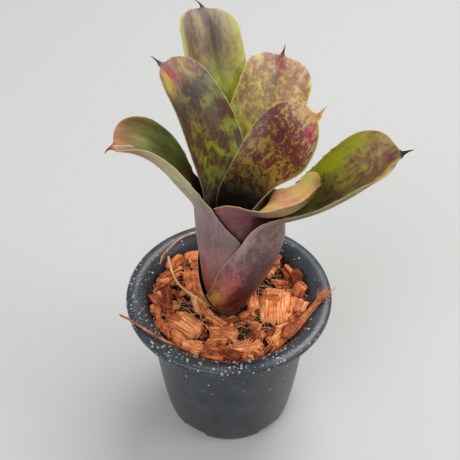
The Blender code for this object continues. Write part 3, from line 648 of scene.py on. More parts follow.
class BROMELIAD_OT_pot(bpy.types.Operator):
    """Makes the flanged nursery pot with its drain notches"""
    bl_idname = "bromeliad.pot"
    bl_label = "Pot"

    def execute(self, context):
        held = context.scene.bromeliad_pot
        work = bmesh.new()
        row = [work.verts.new((r * MM, 0.0, z * MM)) for r, z in pot_profile()]
        edges = [work.edges.new(pair) for pair in zip(row, row[1:])]
        bmesh.ops.spin(work, geom=row + edges, cent=(0, 0, 0), axis=(0, 0, 1), angle=math.tau,
                       steps=held.sides, use_duplicate=False)
        bmesh.ops.remove_doubles(work, verts=work.verts, dist=1e-6)
        bmesh.ops.dissolve_degenerate(work, edges=work.edges, dist=1e-7)
        bmesh.ops.recalc_face_normals(work, faces=work.faces)
        mesh = bpy.data.meshes.new("pot_body")
        work.to_mesh(mesh)
        work.free()
        pot = bpy.data.objects.new("pot_body", mesh)
        context.scene.collection.objects.link(pot)
        cutters = []
        for i in range(NOTCHES):
            angle = math.radians(FIRST_NOTCH + 360 // NOTCHES * i)
            block = bmesh.new()
            bmesh.ops.create_cube(block, size=1.0)
            bmesh.ops.scale(block, verts=block.verts, vec=[size * MM for size in NOTCH_SIZE])
            bmesh.ops.bevel(block, geom=block.edges[:], offset=1.2 * MM, segments=3, affect="EDGES",
                            profile=0.5)
            bmesh.ops.transform(block, verts=block.verts,
                                matrix=Matrix.Rotation(angle, 4, "Z") @ Matrix.Translation((29.8 * MM, 0, 0)))
            shape = bpy.data.meshes.new("notch")
            block.to_mesh(shape)
            block.free()
            cutter = bpy.data.objects.new("notch", shape)
            context.scene.collection.objects.link(cutter)
            cutters.append(cutter)
            cut = pot.modifiers.new("notch", "BOOLEAN")
            cut.object, cut.operation, cut.solver = cutter, "DIFFERENCE", "EXACT"
        pot = plain(pot, "nursery_pot")
        for cutter in cutters:
            bpy.data.objects.remove(cutter, do_unlink=True)
        pot.data.materials.clear()
        pot.data.materials.append(pot_finish(tuple(held.colour)))
        pot.data.polygons.foreach_set("use_smooth", [True] * len(pot.data.polygons))
        pot.data.set_sharp_from_angle(angle=math.radians(50))
        finished(pot, "pot_plastic", "pot")
        return {"FINISHED"}


class BROMELIAD_OT_drops(bpy.types.Operator):
    """Scatters beads of water over the flange"""
    bl_idname = "bromeliad.drops"
    bl_label = "Water beads"

    def execute(self, context):
        held = context.scene.bromeliad_pot
        sides = 120
        over = [(r, z) for r, z in flange_curve(18, INNER_SHOULDER, INNER_LIP) if r > 36.5]
        over += [(43.2, 72.95), (43.9, 72.82), (44.4, 72.62), (44.9, 72.05), (45.0, 71.6)]
        wall = [(float(body_radius(z)), z) for z in (40.0, 48.0, 56.0, 63.0)][::-1]
        points, faces = [], []
        for line in (over, wall):
            first = len(points)
            for i in range(sides):
                a = math.tau * i / sides
                points += [(r * math.cos(a) * MM, r * math.sin(a) * MM, z * MM) for r, z in line]
            for i in range(sides):
                for j in range(len(line) - 1):
                    a, b = first + i * len(line) + j, first + ((i + 1) % sides) * len(line) + j
                    faces.append((b, b + 1, a + 1, a))
        skin = mesh_piece("flange_skin", points, faces, water_finish())
        tree, given, sockets = node_tree("Beads on a surface", {
            "Beads per m2": "Float", "Largest": "Float", "Seed": "Int", "Finish": "Material"})
        # beads gather towards the front and left of the flange
        where = add(tree, "GeometryNodeInputPosition")
        lean = add(tree, "ShaderNodeVectorMath", {0: where.outputs[0], 1: (-9.0, -13.0, 0.0)},
                   operation="DOT_PRODUCT")
        clump = add(tree, "ShaderNodeTexNoise", {"Vector": where.outputs[0], "Scale": 90, "Detail": 2})
        share = add(tree, "ShaderNodeMath", {0: lean.outputs["Value"], 1: clump.outputs[0]}, operation="ADD")
        thick = add(tree, "ShaderNodeMapRange", {"Value": share.outputs[0], "From Min": 0.15, "From Max": 1.0,
                                                 "To Min": 0.10, "To Max": 1.0})
        apart = add(tree, "ShaderNodeSeparateXYZ", {0: where.outputs[0]})
        high = add(tree, "ShaderNodeMapRange", {"Value": apart.outputs[2], "From Min": 0.062,
                                                "From Max": 0.067,
                                                "To Min": 0.08, "To Max": 1.0})
        both = add(tree, "ShaderNodeMath", {0: thick.outputs[0], 1: high.outputs[0]}, operation="MULTIPLY")
        dense = add(tree, "ShaderNodeMath", {0: both.outputs[0], 1: given.outputs["Beads per m2"]},
                    operation="MULTIPLY")
        spread = add(tree, "GeometryNodeDistributePointsOnFaces",
                     {"Mesh": given.outputs["Geometry"], "Density": dense.outputs[0],
                      "Seed": given.outputs["Seed"]})
        bead = add(tree, "GeometryNodeMeshUVSphere", {"Segments": 10, "Rings": 7, "Radius": 0.5})
        flat = add(tree, "GeometryNodeTransform", {"Geometry": bead.outputs[0], "Scale": (1.0, 1.0, 0.62)})
        chance = add(tree, "FunctionNodeRandomValue", {2: 0.0, 3: 1.0, "Seed": given.outputs["Seed"]},
                     data_type="FLOAT")
        rare = add(tree, "ShaderNodeMath", {0: chance.outputs[1], 1: 3.0}, operation="POWER")
        grown = add(tree, "ShaderNodeMapRange", {"Value": rare.outputs[0], "To Min": 0.28, "To Max": 1.0})
        size = add(tree, "ShaderNodeMath", {0: grown.outputs[0], 1: given.outputs["Largest"]},
                   operation="MULTIPLY")
        placed = add(tree, "GeometryNodeInstanceOnPoints",
                     {"Points": spread.outputs["Points"], "Instance": flat.outputs[0],
                      "Rotation": spread.outputs["Rotation"], "Scale": size.outputs[0]})
        whole = add(tree, "GeometryNodeRealizeInstances", {0: placed.outputs[0]})
        soft = add(tree, "GeometryNodeSetShadeSmooth", {0: whole.outputs[0]})
        named = add(tree, "GeometryNodeSetMaterial", {0: soft.outputs[0],
                                                      "Material": given.outputs["Finish"]})
        add(tree, "NodeGroupOutput", {0: named.outputs[0]})
        drops = run_tree(skin, tree, sockets, {
            "Beads per m2": held.drops * 1e4, "Largest": held.drop_size, "Seed": 5,
            "Finish": bpy.data.materials["water_beads"]}, "water_drops")
        finished(drops, "pot_plastic")
        return {"FINISHED"}


# --- potting mix -----------------------------------------------------------------------------
def wall_radius(z):
    """Inside radius of the pot at a height, in millimetres."""
    return float(body_radius(min(z, SHOULDER[1]))) - WALL


def inner_radius(z):
    """Inside radius of the pot at a height, in millimetres, up over the flange's inner curve."""
    low = [(wall_radius(h), h) for h in (0.0, 20.0, 40.0, 50.0, 60.0, 64.5)]
    curve = low + [(r, h) for r, h in flange_curve(12, INNER_SHOULDER, INNER_LIP)]
    return np.interp(z, [h for _, h in curve], [r for r, _ in curve])


def bed_height(radius):
    """Height of the bed's top at a distance from the pot's axis: level, then up to the wall."""
    return BED_Z + BED_RISE * np.clip((radius - BED_FLAT) / (BED_EDGE - BED_FLAT), 0, 1)


class BROMELIAD_OT_bed(bpy.types.Operator):
    """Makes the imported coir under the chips"""
    bl_idname = "bromeliad.bed"
    bl_label = "Coir bed"

    def execute(self, context):
        colour = tuple(context.scene.bromeliad_mix.peat_and_gap_shade)
        noise = lattice(3)
        sides, rings = 120, 40
        points, faces = [], []
        top = wall_radius(BED_Z + BED_RISE) - BED_GAP
        angles = np.linspace(0, math.tau, sides, endpoint=False)
        for j in range(rings):
            r = 7.2 + (top - 7.2) * j / (rings - 1)
            x, y = r * np.cos(angles), r * np.sin(angles)
            if j < 12:
                blend = 1 - j / 12
                x, y = x + (PLANT[0] + FOOT_SHIFT) * blend, y + PLANT[1] * blend
            lift = 1.5 * noise(x / 2.2 + 50, y / 2.2 + 50) + 0.9 * noise(x / 0.8 + 90, y / 0.8 + 90) - 1.0
            lift = lift * min(1.0, (rings - 1 - j) / 3)
            level = bed_height(np.hypot(x, y)) + lift
            points += [(a * MM, b * MM, c * MM) for a, b, c in zip(x, y, level)]
        lower = [(wall_radius(z) - BED_GAP, z) for z in (58.0, 40.0, 20.0, 5.0)] + [(24.0, 4.4), (24.0, 2.0)]
        for r, z in lower:
            points += [(r * math.cos(a) * MM, r * math.sin(a) * MM, z * MM) for a in angles]
        count = rings + len(lower)
        for j in range(count - 1):
            for i in range(sides):
                k = (i + 1) % sides
                faces.append((j * sides + i, (j + 1) * sides + i, (j + 1) * sides + k, j * sides + k))
        faces.append(tuple(range(sides)))
        faces.append(tuple((count - 1) * sides + i for i in reversed(range(sides))))
        bed = mesh_piece("packed_coir", points, faces, coir_finish(colour))
        finished(bed, "dark_coir", "coir_bed")
        return {"FINISHED"}


def husk_slab(length, width, thick, seed, step):
    """A chip of husk about the origin, in millimetres: points, faces and attributes."""
    rng = np.random.default_rng(seed)
    noise = lattice(seed)
    nx, ny = max(8, round(length / step / 1.6)), max(7, round(width / step))
    x = np.linspace(-1, 1, nx)[:, None]
    y = np.linspace(-1, 1, ny)[None, :]
    across = y * width / 2
    ragged = [1 - 0.22 * noise(across / 0.8 + 10, 3.0 + k) - 0.14 * noise(across / 3.0 + 40, 7.0 + k)
              - 0.10 * np.abs(y) ** 3 for k in (0, 9)]
    along = np.where(x < 0, x * ragged[0], x * ragged[1]) * length / 2
    across = across * (1 - 0.10 * noise(along / 4.0 + 20, 1.0) - 0.06 * np.abs(x) ** 4)
    bow = rng.uniform(-0.5, 0.9) * (x ** 2) + rng.uniform(-0.3, 0.7) * (y ** 2)
    rim = (1 - np.abs(y) ** 12) * (1 - 0.5 * np.abs(x) ** 14)
    grids, crevice_shades = [], []
    for face in (1, -1):
        wander = across + 0.4 * noise(along / 9.0 + 5 * face, 60.0)
        coarse = noise(along / 14.0 + 30, wander / 0.62 + 100 + 20 * face)
        fine = noise(along / 7.0 + 70, wander / 0.36 + 10 + 20 * face)
        lump = noise(along / 5.0 + 90, wander / 3.0 + 60 * face)
        ridge = 0.85 * (coarse - 0.5) + 0.45 * (fine - 0.5) + 0.6 * (lump - 0.5)
        height = face * (thick / 2 * rim * 0.80 + 0.22 + ridge * (0.35 + 0.65 * rim)) - bow
        grids.append(np.stack([along + 0 * height, across + 0 * height, height], -1))
        # the low places of each face, where the ridges dip, get painted shade for the chip's crevices
        crevice_shades.append(np.clip((0.42 - coarse) * 2.2, 0, 1) * 0.8 + np.clip((0.30 - fine) * 1.5, 0, 1) * 0.5)
    points = np.concatenate([g.reshape(-1, 3) for g in grids])
    crevice_shade = np.clip(np.concatenate([h.reshape(-1) for h in crevice_shades]), 0, 1)
    k = np.arange(nx * ny).reshape(nx, ny)
    # seen from above the grid runs clockwise, so the faces are turned to point up
    faces = sheet_faces(nx, ny)[:, ::-1]
    fields = dict(place=points + np.array([0.0, 0.0, 37.0 * (seed % 97)]), crevice_shade=crevice_shade)
    return points, faces, fields


def lying(around, out, yaw, pitch, roll):
    """The turn of a chip that lies along the bed's slope, from angles in degrees."""
    slope = math.degrees(math.atan2(BED_RISE, BED_EDGE - BED_FLAT)) if out > BED_FLAT else 0.0
    away = math.radians(around - yaw)
    turned = (roll + slope * math.sin(away), pitch - slope * math.cos(away), yaw)
    return np.array(Euler([math.radians(v) for v in turned], "XYZ").to_matrix())


class BROMELIAD_OT_chips(bpy.types.Operator):
    """Makes the large chips of coconut husk"""
    bl_idname = "bromeliad.chips"
    bl_label = "Husk chips"

    def execute(self, context):
        held = context.scene.bromeliad_mix
        finish = husk_finish("coconut_husk_cut", *(tuple(c) + (1.0,) for c in (held.dark, held.middle,
                                                                               held.straw)))
        for index, (name, around, out, length, width, yaw, pitch, roll, shade) in enumerate(CHIPS):
            points, faces, fields = husk_slab(length + 1.0, width + 0.6, 3.0, 40 + index, 0.28)
            turn = lying(around, out, yaw, pitch, roll)
            points = points @ turn.T
            low, high = (np.array(corner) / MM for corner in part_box(name))
            centre = (points.max(0) + points.min(0)) / 2
            points += np.array([(low[0] + high[0]) / 2 - centre[0], (low[1] + high[1]) / 2 - centre[1],
                                low[2] - points[:, 2].min()])
            chip = mesh_piece("husk_" + name, points * MM, faces, finish, dict(
                fibre_place=fields["place"], crevice_shade=fields["crevice_shade"], shade=np.full(len(points), shade)))
            finished(chip, "coconut_husk", name)
        return {"FINISHED"}


class BROMELIAD_OT_litter(bpy.types.Operator):
    """Fills the gaps between the large chips with small ones"""
    bl_idname = "bromeliad.litter"
    bl_label = "Small chips"

    def execute(self, context):
        held = context.scene.bromeliad_mix
        rng = np.random.default_rng(11)
        parts, faces, fields, start = [], [], [], 0
        for i in range(held.litter):
            kind = i % 7
            r = 10.5 + 22.0 * math.sqrt(rng.random())
            a = rng.uniform(0, math.tau)
            length, width = rng.uniform(5.0, 13.0), rng.uniform(1.8, 6.4)
            middle = np.zeros(2)
            if kind in (0, 1):  # round the foot of the plant
                r, middle = rng.uniform(10.2, 12.5), PLANT[:2] + (FOOT_SHIFT, 0.0)
            elif kind in (2, 3, 4):  # against the wall, over the foot of the flange
                r = rng.uniform(31.5, 36.0)
            points, quads, own = husk_slab(length, width, rng.uniform(0.8, 1.6), 300 + i, 0.66)
            yaw = math.degrees(a) + 90 + rng.uniform(-35, 35) if kind < 5 else rng.uniform(0, 360)
            points = points @ lying(math.degrees(a), r, yaw, rng.uniform(-12, 12), rng.uniform(-25, 25)).T
            spot = middle + r * np.array([math.cos(a), math.sin(a)])
            out = math.hypot(*spot)
            lift = rng.uniform(1.4, 3.6) if kind in (2, 3, 4) else 0.7 * (i % 3)
            centre = np.array([*spot, bed_height(out) - points[:, 2].min() - rng.uniform(0.1, 0.9) + lift])
            over = (np.hypot(points[:, 0] + centre[0], points[:, 1] + centre[1])
                    - inner_radius(points[:, 2] + centre[2]) + 0.3).max()
            if over > 0:
                centre[:2] *= 1 - over / out
            parts.append(points + centre)
            faces.append(quads + start)
            start += len(points)
            fields.append((own["place"], own["crevice_shade"], np.full(len(points), rng.uniform(0.12, 0.72))))
        finish = husk_finish("coconut_husk_litter", *(tuple(c) + (1.0,) for c in (held.dark, held.middle,
                                                                                  held.straw)))
        litter = mesh_piece("husk_litter", np.concatenate(parts) * MM, np.concatenate(faces), finish, dict(
            fibre_place=np.concatenate([f[0] for f in fields]), crevice_shade=np.concatenate([f[1] for f in fields]),
            shade=np.concatenate([f[2] for f in fields])))
        finished(litter, "coconut_husk")
        return {"FINISHED"}


def smooth_path(points, count):
    """Points of a Catmull-Rom curve through the given ones."""
    held = [points[0], *points, points[-1]]
    found = []
    for i in range(count + 1):
        x = i / count * (len(points) - 1)
        k = min(int(x), len(points) - 2)
        t = x - k
        p0, p1, p2, p3 = (Vector(p) for p in held[k:k + 4])
        found.append(0.5 * (2 * p1 + (p2 - p0) * t + (2 * p0 - 5 * p1 + 4 * p2 - p3) * t ** 2
                            + (3 * p1 - p0 - 3 * p2 + p3) * t ** 3))
    return found


class BROMELIAD_OT_strands(bpy.types.Operator):
    """Makes the four long strands of husk fibre, each a bundle of threads"""
    bl_idname = "bromeliad.strands"
    bl_label = "Fibre strands"

    def execute(self, context):
        dry = strand_finish("coir_fibre_dry", "#a8683c", tuple(context.scene.bromeliad_mix.thread), "#f0d0a0")
        damp = strand_finish("coir_fibre_damp", "#743418", linear("#ae5c30"), "#d8925a")
        tree, given, sockets = node_tree("Frayed bundle", {
            "Strands": "Int", "Bundle radius": "Float", "Strand radius": "Float", "Fray": "Float",
            "Seed": "Int", "Finish": "Material"})
        line = add(tree, "GeometryNodeMeshToCurve", {0: given.outputs["Geometry"]})
        many = add(tree, "GeometryNodeDuplicateElements",
                   {"Geometry": line.outputs[0], "Amount": given.outputs["Strands"]}, domain="SPLINE")
        drift = add(tree, "FunctionNodeRandomValue", {0: (-1, -1, -1), 1: (1, 1, 1), "ID": many.outputs[1],
                                                      "Seed": given.outputs["Seed"]},
                    data_type="FLOAT_VECTOR")
        where = add(tree, "GeometryNodeInputPosition")
        along = add(tree, "GeometryNodeSplineParameter")
        ends = add(tree, "ShaderNodeMapRange", {"Value": along.outputs[0], "From Min": 0.72, "From Max": 1.0,
                                                "To Min": 0.0, "To Max": 1.0},
                   interpolation_type="SMOOTHSTEP")
        apart = add(tree, "ShaderNodeMath", {0: ends.outputs[0], 1: given.outputs["Fray"],
                                             2: given.outputs["Bundle radius"]}, operation="MULTIPLY_ADD")
        shifted = add(tree, "ShaderNodeVectorMath", {0: drift.outputs[0], 1: (40.0, 40.0, 40.0)},
                      operation="MULTIPLY")
        spot = add(tree, "ShaderNodeVectorMath", {0: where.outputs[0], 1: shifted.outputs[0]},
                   operation="ADD")
        curl = add(tree, "ShaderNodeTexNoise", {"Vector": spot.outputs[0], "Scale": 120.0, "Detail": 1.0})
        bent = add(tree, "ShaderNodeVectorMath", {0: curl.outputs["Color"], 1: (0.5, 0.5, 0.5)},
                   operation="SUBTRACT")
        both = add(tree, "ShaderNodeVectorMath", {0: bent.outputs[0], 1: (1.6, 1.6, 1.6),
                                                  2: drift.outputs[0]},
                   operation="MULTIPLY_ADD")
        offset = add(tree, "ShaderNodeVectorMath", {0: both.outputs[0], "Scale": apart.outputs[0]},
                     operation="SCALE")
        laid = add(tree, "GeometryNodeSetPosition", {0: many.outputs[0], "Offset": offset.outputs[0]})
        taper = add(tree, "ShaderNodeMapRange", {"Value": along.outputs[0], "From Min": 0.8, "From Max": 1.0,
                                                 "To Min": 1.0, "To Max": 0.25})
        swell = add(tree, "GeometryNodeSetCurveRadius", {0: laid.outputs[0], "Radius": taper.outputs[0]})
        ring = add(tree, "GeometryNodeCurvePrimitiveCircle", {"Resolution": 5,
                                                              "Radius": given.outputs["Strand radius"]})
        tube = add(tree, "GeometryNodeCurveToMesh", {"Curve": swell.outputs[0],
                                                     "Profile Curve": ring.outputs[0],
                                                     "Scale": taper.outputs[0], "Fill Caps": True})
        whole = add(tree, "GeometryNodeRealizeInstances", {0: tube.outputs[0]})
        named = add(tree, "GeometryNodeSetMaterial", {0: whole.outputs[0],
                                                      "Material": given.outputs["Finish"]})
        add(tree, "NodeGroupOutput", {0: named.outputs[0]})
        for index, (name, radii, strands, path) in enumerate(FIBRES):
            points = smooth_path([(x * MM, y * MM, (z + RIM_Z) * MM) for x, y, z in path], 40)
            mesh = bpy.data.meshes.new(name)
            mesh.from_pydata([tuple(p) for p in points], [(i, i + 1) for i in range(len(points) - 1)], [])
            line = bpy.data.objects.new("line", mesh)
            context.scene.collection.objects.link(line)
            bundle = run_tree(line, tree, sockets, {
                "Strands": strands, "Bundle radius": radii[0] * 0.62 * MM, "Strand radius": 0.17 * MM,
                "Fray": (2.2 if index == 0 else 0.4) * MM, "Seed": index,
                "Finish": damp if index < 2 else dry}, "strand_" + name)
            finished(bundle, "loose_fibre", name)
        return {"FINISHED"}


class BROMELIAD_OT_hairs(bpy.types.Operator):
    """Scatters fine loose fibres over the chips"""
    bl_idname = "bromeliad.hairs"
    bl_label = "Fine fibres"

    def execute(self, context):
        sides, bands = 60, 8
        points, faces = [], []
        for i in range(sides):
            a = math.tau * i / sides
            for j in range(bands):
                r = 11.0 + 24.0 * j / (bands - 1)
                points.append((r * math.cos(a) * MM, r * math.sin(a) * MM, (bed_height(r) + 3.4) * MM))
        for i in range(sides):
            for j in range(bands - 1):
                a, b = i * bands + j, ((i + 1) % sides) * bands + j
                faces.append((a, a + 1, b + 1, b))
        finish = bpy.data.materials["coir_fibre_dry"]
        skin = mesh_piece("bed_skin", points, faces, finish)
        tree, given, sockets = node_tree("Scattered fibres", {
            "Fibres per m2": "Float", "Length": "Float", "Radius": "Float", "Seed": "Int",
                                                              "Finish": "Material"})
        spread = add(tree, "GeometryNodeDistributePointsOnFaces",
                     {"Mesh": given.outputs["Geometry"], "Density": given.outputs["Fibres per m2"],
                      "Seed": given.outputs["Seed"]})
        bow = add(tree, "GeometryNodeCurveQuadraticBezier", {"Resolution": 7, "Start": (-0.5, 0.0, 0.0),
                                                            "Middle": (0.0, 0.22, 0.10),
                                                             "End": (0.5, 0.0, -0.02)})
        ring = add(tree, "GeometryNodeCurvePrimitiveCircle", {"Resolution": 3,
                                                              "Radius": given.outputs["Radius"]})
        tube = add(tree, "GeometryNodeCurveToMesh", {"Curve": bow.outputs[0],
                                                     "Profile Curve": ring.outputs[0],
                                                     "Fill Caps": True})
        turn = add(tree, "FunctionNodeRandomValue", {0: (-0.22, -0.25, 0.0), 1: (0.22, 0.25, math.tau),
                                                     "Seed": 3},
                   data_type="FLOAT_VECTOR")
        chance = add(tree, "FunctionNodeRandomValue", {2: 0.3, 3: 1.0, "Seed": 4}, data_type="FLOAT")
        size = add(tree, "ShaderNodeMath", {0: chance.outputs[1], 1: given.outputs["Length"]},
                   operation="MULTIPLY")
        placed = add(tree, "GeometryNodeInstanceOnPoints",
                     {"Points": spread.outputs["Points"], "Instance": tube.outputs[0],
                      "Rotation": turn.outputs[0], "Scale": size.outputs[0]})
        whole = add(tree, "GeometryNodeRealizeInstances", {0: placed.outputs[0]})
        where = add(tree, "GeometryNodeInputPosition")
        curl = add(tree, "ShaderNodeTexNoise", {"Vector": where.outputs[0], "Scale": 150.0, "Detail": 1.0})
        bent = add(tree, "ShaderNodeVectorMath", {0: curl.outputs["Color"], 1: (0.5, 0.5, 0.5)},
                   operation="SUBTRACT")
        offset = add(tree, "ShaderNodeVectorMath", {0: bent.outputs[0], 1: (0.002, 0.002, 0.002)},
                     operation="MULTIPLY")
        moved = add(tree, "GeometryNodeSetPosition", {0: whole.outputs[0], "Offset": offset.outputs[0]})
        named = add(tree, "GeometryNodeSetMaterial", {0: moved.outputs[0],
                                                      "Material": given.outputs["Finish"]})
        add(tree, "NodeGroupOutput", {0: named.outputs[0]})
        hairs = run_tree(skin, tree, sockets, {
            "Fibres per m2": 7.5e4, "Length": 14 * MM, "Radius": 0.0095, "Seed": 8, "Finish": finish},
                         "fine_fibres")
        finished(hairs, "loose_fibre")
        return {"FINISHED"}


# --- plant -----------------------------------------------------------------------------------
def sheath_radius(height):
    """Radius of the sheaths' bundle at a height over its foot."""
    return BASE_RADIUS + SWELL * (1 - math.exp(-height / SWELL_HEIGHT))


def sheath_lean(height):
    """Lean of a sheath away from upright at a height, in radians."""
    return math.atan(SWELL / SWELL_HEIGHT * math.exp(-height / SWELL_HEIGHT))


def sheath_shift(height):
    """How far the sheaths' middle stands in X from the rosette's axis at a height."""
    return FOOT_SHIFT * (1 - ease(height / 35.0))


def midrib(order, leaf):
    """The leaf's middle line in fine steps: distance, place, and the directions along, across and
    towards its face."""
    sheath, length = leaf["sheath"], leaf["length"]
    heading = math.radians(leaf["heading"])
    height = order * RISE
    radius = sheath_radius(height) - order * PITCH
    place = np.array([radius * math.cos(heading), radius * math.sin(heading), height])
    step = length / MIDRIB_STEPS
    start, middle, end = leaf["lean"]
    rows = []
    for i in range(MIDRIB_STEPS + 1):
        s = i * step
        t = min(max((s - sheath) / (length - sheath), 0.0), 1.0)
        blade = (1 - t) * (1 - 2 * t) * start + 4 * t * (1 - t) * middle + t * (2 * t - 1) * end
        mix = float(ease((s - sheath) / 14))
        lean = (1 - mix) * sheath_lean(place[2]) + mix * math.radians(blade)
        turned = heading + math.radians(leaf["sweep"]) * float(ease(t))
        flat = np.array([math.cos(turned), math.sin(turned), 0.0])
        up = np.array([0.0, 0.0, 1.0])
        along = math.sin(lean) * flat + math.cos(lean) * up
        inward = math.sin(lean) * up - math.cos(lean) * flat
        side = np.array([-math.sin(turned), math.cos(turned), 0.0])
        twist = math.radians(leaf["twist"]) * float(ease(1.2 * t))
        across = math.cos(twist) * side + math.sin(twist) * inward
        facing = math.cos(twist) * inward - math.sin(twist) * side
        rows.append(np.concatenate([[s], place, along, across, facing]))
        place = place + along * step
    return np.array(rows)


def leaf_grid(order, leaf, rows, tooth):
    """Points of the leaf's middle surface, its spine included, with the measures its finish needs."""
    sheath, length = leaf["sheath"], leaf["length"]
    wrap_width, widest = leaf["widths"]
    line = midrib(order, leaf)
    s = np.linspace(0.0, length, rows)
    s = s + 0.02 * length * np.sin(math.tau * s / length) / 2
    s[-1] = length
    kept = np.stack([np.interp(s, line[:, 0], line[:, k]) for k in range(1, 13)], -1)
    place, along, across, facing = (kept[:, k:k + 3] for k in (0, 3, 6, 9))
    t = np.clip((s - sheath) / (length - sheath), 0, 1)
    blade_width = widest * (0.8 + 0.2 * ease(t / 0.6))
    before, over = leaf["neck"]
    mix = ease((s - sheath + before) / over)
    width = (1 - mix) * wrap_width + mix * blade_width
    shoulder = length - 0.5 * widest
    q = np.clip((s - shoulder) / (length - shoulder), 0, 1)
    blunt = leaf["square"]
    width = width * (1 - q ** blunt) ** (1 / blunt)
    width = np.maximum(width, 1.1 + 2.4 * np.exp(-(length - s) / 1.1))
    shares = np.sin(np.linspace(-1, 1, ACROSS) * math.pi / 2 * 0.86) / math.sin(math.pi / 2 * 0.86)
    heading = math.radians(leaf["heading"])
    radius = np.hypot(place[:, 0], place[:, 1])
    cup = np.radians(leaf["cup"][0] + (leaf["cup"][1] - leaf["cup"][0]) * ease(t / 0.7))
    bend = np.maximum(width / 2, widest / 2) / cup
    blend = ease((s - sheath) / 16)[:, None, None]
    wrap = np.minimum(width / 2 / radius, WRAP)
    angle = heading + shares[None, :] * wrap[:, None]
    stand = leaf["keel"] * ease((s / sheath - 0.3) / 0.7)
    reach = radius[:, None] + stand[:, None] * (1 - shares[None] ** 2) ** 2
    tube = np.stack([sheath_shift(place[:, 2])[:, None] + reach * np.cos(angle), reach * np.sin(angle),
                     place[:, 2][:, None] + 0 * angle], -1)
    # small teeth, wider apart up the blade, and a slight wave of the thin edge
    noise = lattice(70 + order)
    saw = (s / (2.6 + 1.2 * t)) % 1.0
    teeth = tooth / MM * np.clip(1 - saw / 0.45, 0, 1) * (q < 0.5) * (0.4 + noise(s / 4.0, 2.0))
    half = width[:, None] / 2 * shares[None, :] + teeth[:, None] * np.sign(shares) * (np.abs(shares) > 0.999)
    fold = half / bend[:, None]
    blade = (place[:, None] + bend[:, None, None] * np.sin(fold)[..., None] * across[:, None]
             + bend[:, None, None] * (1 - np.cos(fold))[..., None] * facing[:, None])
    points = tube * (1 - blend) + blade * blend
    wave = 0.35 * np.sin(s / 5.5 + order)[:, None] * np.abs(shares) ** 3 * ease(t * 3)[:, None]
    pinch = -leaf["pinch"] * np.exp(-(half / 2.3) ** 2) * ease((s - length + 8.5) / 7.5)[:, None]
    keel = -0.35 * np.exp(-(half / 1.6) ** 2) * (ease(t * 4) * (1 - ease((s - length + 10) / 9)))[:, None]
    ripple = 0.25 * (noise(half / 5.0 + 30, s[:, None] / 9.0) - 0.5)
    points = points + (wave + pinch + keel + ripple)[..., None] * facing[:, None]
    # the spine carries the sheet on past its end, thinner and hooked
    d = np.linspace(0, SPINE, 22)[1:]
    hook = [math.radians(v) for v in leaf["hook"]]
    tip = points[-1, len(shares) // 2]
    centre, spine_rows, spine_width = tip.copy(), [], []
    for previous, here in zip(np.concatenate([[0], d[:-1]]), d):
        share = here / SPINE
        way = (along[-1] + math.tan(hook[0] * share) * across[-1] - math.tan(hook[1] * share) * facing[-1])
        way /= np.linalg.norm(way)
        centre = centre + way * (here - previous)
        side = across[-1] - way * (across[-1] @ way)
        side /= np.linalg.norm(side)
        wide = 1.15 * (1 - share ** 1.3) + 2.35 * math.exp(-here / 0.8) + 0.06
        spine_rows.append(centre[None] + shares[:, None] * wide / 2 * side[None])
        spine_width.append(wide)
    points = np.concatenate([points, np.array(spine_rows)]) + PLANT
    widths = np.concatenate([width, spine_width])
    lengths = np.concatenate([s, length + d])
    return points, shares, lengths, widths


def coat(stops, patches, v, u):
    """Ground colour, mottling colour and cover at each place of a leaf's face."""
    marks = [stop[0] for stop in stops]
    ground, mottle = (np.stack([np.interp(v, marks, [linear(stop[k])[c] for stop in stops])
                                for c in range(3)], -1) for k in (1, 2))
    cover = np.interp(v, marks, [stop[3] for stop in stops])
    for at_v, at_u, wide_v, wide_u, light, dark, share, strength in patches:
        weight = strength * np.exp(-((v - at_v) / wide_v) ** 2 - ((u - at_u) / wide_u) ** 2)
        ground += weight[..., None] * (np.array(linear(light)[:3]) - ground)
        mottle += weight[..., None] * (np.array(linear(dark)[:3]) - mottle)
        cover += weight * (share - cover)
    return ground, mottle, cover


def opaque(faces):
    """The colours of a leaf's two faces as one list, with full opacity."""
    flat = np.concatenate([face.reshape(-1, 3) for face in faces])
    return np.concatenate([flat, np.ones((len(flat), 1))], 1)


# how large the mottling is in millimetres, how soft its edges, and how much it is drawn out
MARKINGS = {
    "leaf_back_left": (6.0, 0.14, 0.50), "leaf_right": (4.2, 0.11, 0.50), "leaf_left": (6.0, 0.16, 0.40),
    "leaf_back_right": (4.6, 0.12, 0.75), "leaf_front": (6.0, 0.16, 0.60),
    "leaf_centre_left": (5.0, 0.12, 0.70), "leaf_centre_right": (2.9, 0.09, 0.85),
}


